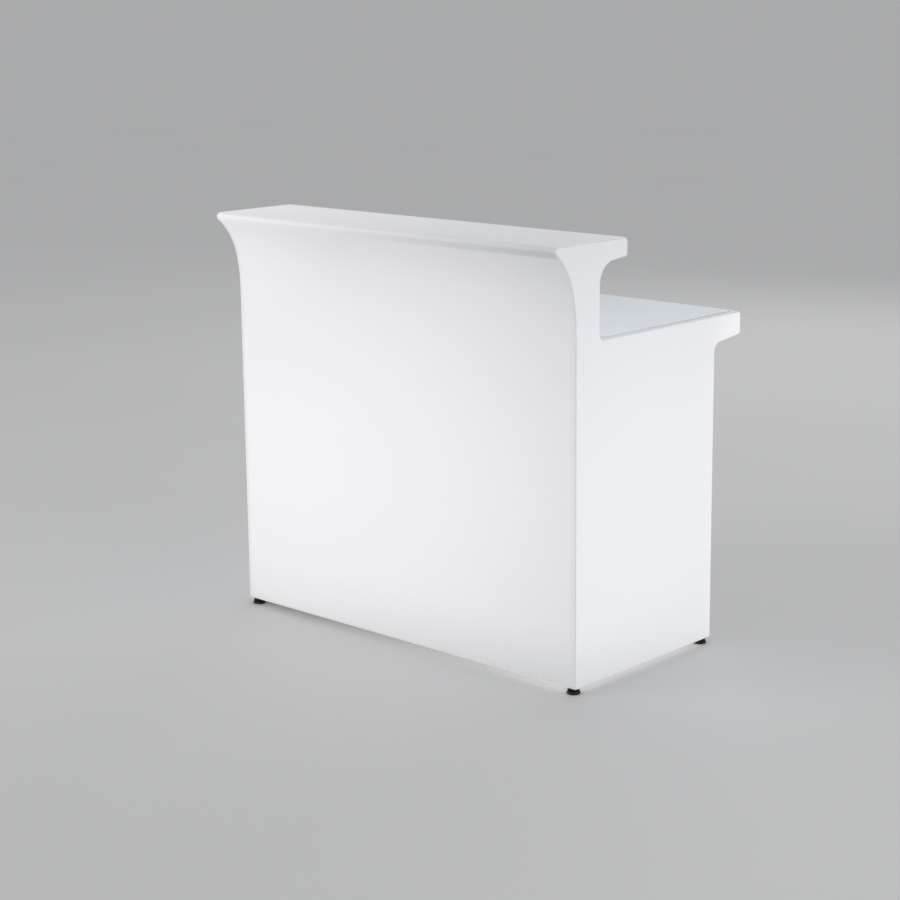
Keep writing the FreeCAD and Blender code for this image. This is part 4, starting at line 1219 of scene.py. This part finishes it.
def print_mark(name, pairs):
    """A strip of paint between pairs of places (x, z) on the front of the rocker."""
    surface = surface_of("rocker_switch")
    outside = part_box("rocker_switch")[1][1] + mark_height
    shape = bmesh.new()
    rows = []
    for pair in pairs:
        row = []
        for x, z in pair:
            spot, facing, _, _ = surface.ray_cast(Vector((x, outside, z)), Vector((0.0, -1.0, 0.0)))
            row.append(shape.verts.new(spot + facing * paint_thickness))
        rows.append(row)
    for first, second in zip(rows, rows[1:]):
        shape.faces.new((first[0], first[1], second[1], second[0]))
    mark = object_from(shape, name, paint)
    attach(mark, "rocker")
    print(name, "has", len(mark.data.polygons), "faces")


print("marks are", round(mark_height * 1000, 1), "mm high")

# %% Print the line and the ring
mark_line = 0.0007
mark_offset_share = 0.52
ring_steps = 32
line_steps = 6


def print_marks():
    """The line is on the end that is pressed in now, because the counter is lit."""
    low, high = (Vector(corner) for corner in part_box("rocker_switch"))
    middle = (low + high) / 2
    offset = mark_offset_share * (high.z - low.z) / 2
    rise = [middle.z - offset + mark_height * (i / line_steps - 0.5) for i in range(line_steps + 1)]
    line = [((middle.x - mark_line / 2, z), (middle.x + mark_line / 2, z)) for z in rise]
    print_mark("on_mark", line)
    ring = []
    ring_middle = middle.z + offset
    reaches = (mark_height / 2 - mark_line, mark_height / 2)
    for i in range(ring_steps + 1):
        turn = 2 * math.pi * i / ring_steps
        across, upwards = math.cos(turn), math.sin(turn)
        ring.append([(middle.x + reach * across, ring_middle + reach * upwards) for reach in reaches])
    print_mark("off_mark", ring)


print_marks()

# %% [markdown]
# ## The studio
# The counter stands on a plain pale floor under soft light. The sky gives most of it, evenly from
# everywhere. Three large lamps only add a gentle direction: one high at the front left, a weaker one
# at the right, and one behind for the bartender's side. Strong lamps would hide the counter's own
# glow. The floor is a wide disc, so that its edge is never in view.

# %% Build the floor
floor_radius = 400.0
floor_corners = 96
floor_pale = (0.68, 0.68, 0.68, 1.0)
floor_patch = (0.72, 0.72, 0.715, 1.0)


def pale_floor():
    """Smooth pale screed with faint patches."""
    material, tree, shader = start_finish("pale_floor")
    patches = noise(tree, own_place(tree), scale=0.8, detail=4.0)
    set_shader(tree, shader, {
        "Base Color": mix_colours(tree, patches, floor_pale, floor_patch),
        "Roughness": 0.7,
    })
    return material


def build_floor():
    """A wide disc that the counter stands on."""
    shape = bmesh.new()
    bmesh.ops.create_circle(shape, cap_ends=True, segments=floor_corners, radius=floor_radius)
    floor = object_from(shape, "floor", pale_floor())


build_floor()
print("floor", 2 * floor_radius, "m across")

# %% [markdown]
# An area lamp's light is softer the larger it is. Each is at least 3 m across and 5 to 6 m away, and
# a tracking turn points it at the middle of the counter.

# %% Hang the lamps of the studio
lamp_target = Vector((0.0, 0.0, 0.55))


def soft_lamp(name, place, size, power):
    """A square soft box that points at the counter."""
    data = bpy.data.lights.new(name, "AREA")
    data.size = size
    data.energy = power
    lamp = bpy.data.objects.new(name, data)
    lamp.location = place
    lamp.rotation_euler = (lamp_target - Vector(place)).to_track_quat("-Z", "Y").to_euler()
    bpy.context.scene.collection.objects.link(lamp)


soft_lamp("key_lamp", place=(-3.2, -4.6, 3.0), size=3.0, power=55.0)
soft_lamp("fill_lamp", place=(4.6, -0.6, 1.8), size=3.0, power=25.0)
soft_lamp("back_lamp", place=(-1.5, 5.0, 3.4), size=3.5, power=38.0)
print("three lamps")

# %% [markdown]
# The sky is one tone overhead. Towards the horizon it takes the tone of the lit floor, so that no
# hard line runs behind the counter in a low view.

# %% Paint the sky
horizon_tone = (0.398, 0.401, 0.405, 1.0)
sky_tone = (0.552, 0.557, 0.567, 1.0)
sky_is_full = 0.35


def build_sky():
    """An even sky that takes the floor's tone where it meets the floor."""
    sky = bpy.data.worlds.new("sky")
    sky.use_nodes = True
    tree = sky.node_tree
    upwards = output_of(add_node(tree, "TexCoord", {}), "Generated")
    height = add_node(tree, "SeparateXYZ", {"Vector": upwards}).outputs["Z"]
    colour = mix_colours(tree, fade(tree, height, 0.0, sky_is_full), horizon_tone, sky_tone)
    tree.links.new(colour, tree.nodes["Background"].inputs["Color"])
    bpy.context.scene.world = sky


build_sky()
bpy.context.scene.view_settings.view_transform = "Standard"
print("the sky is set")
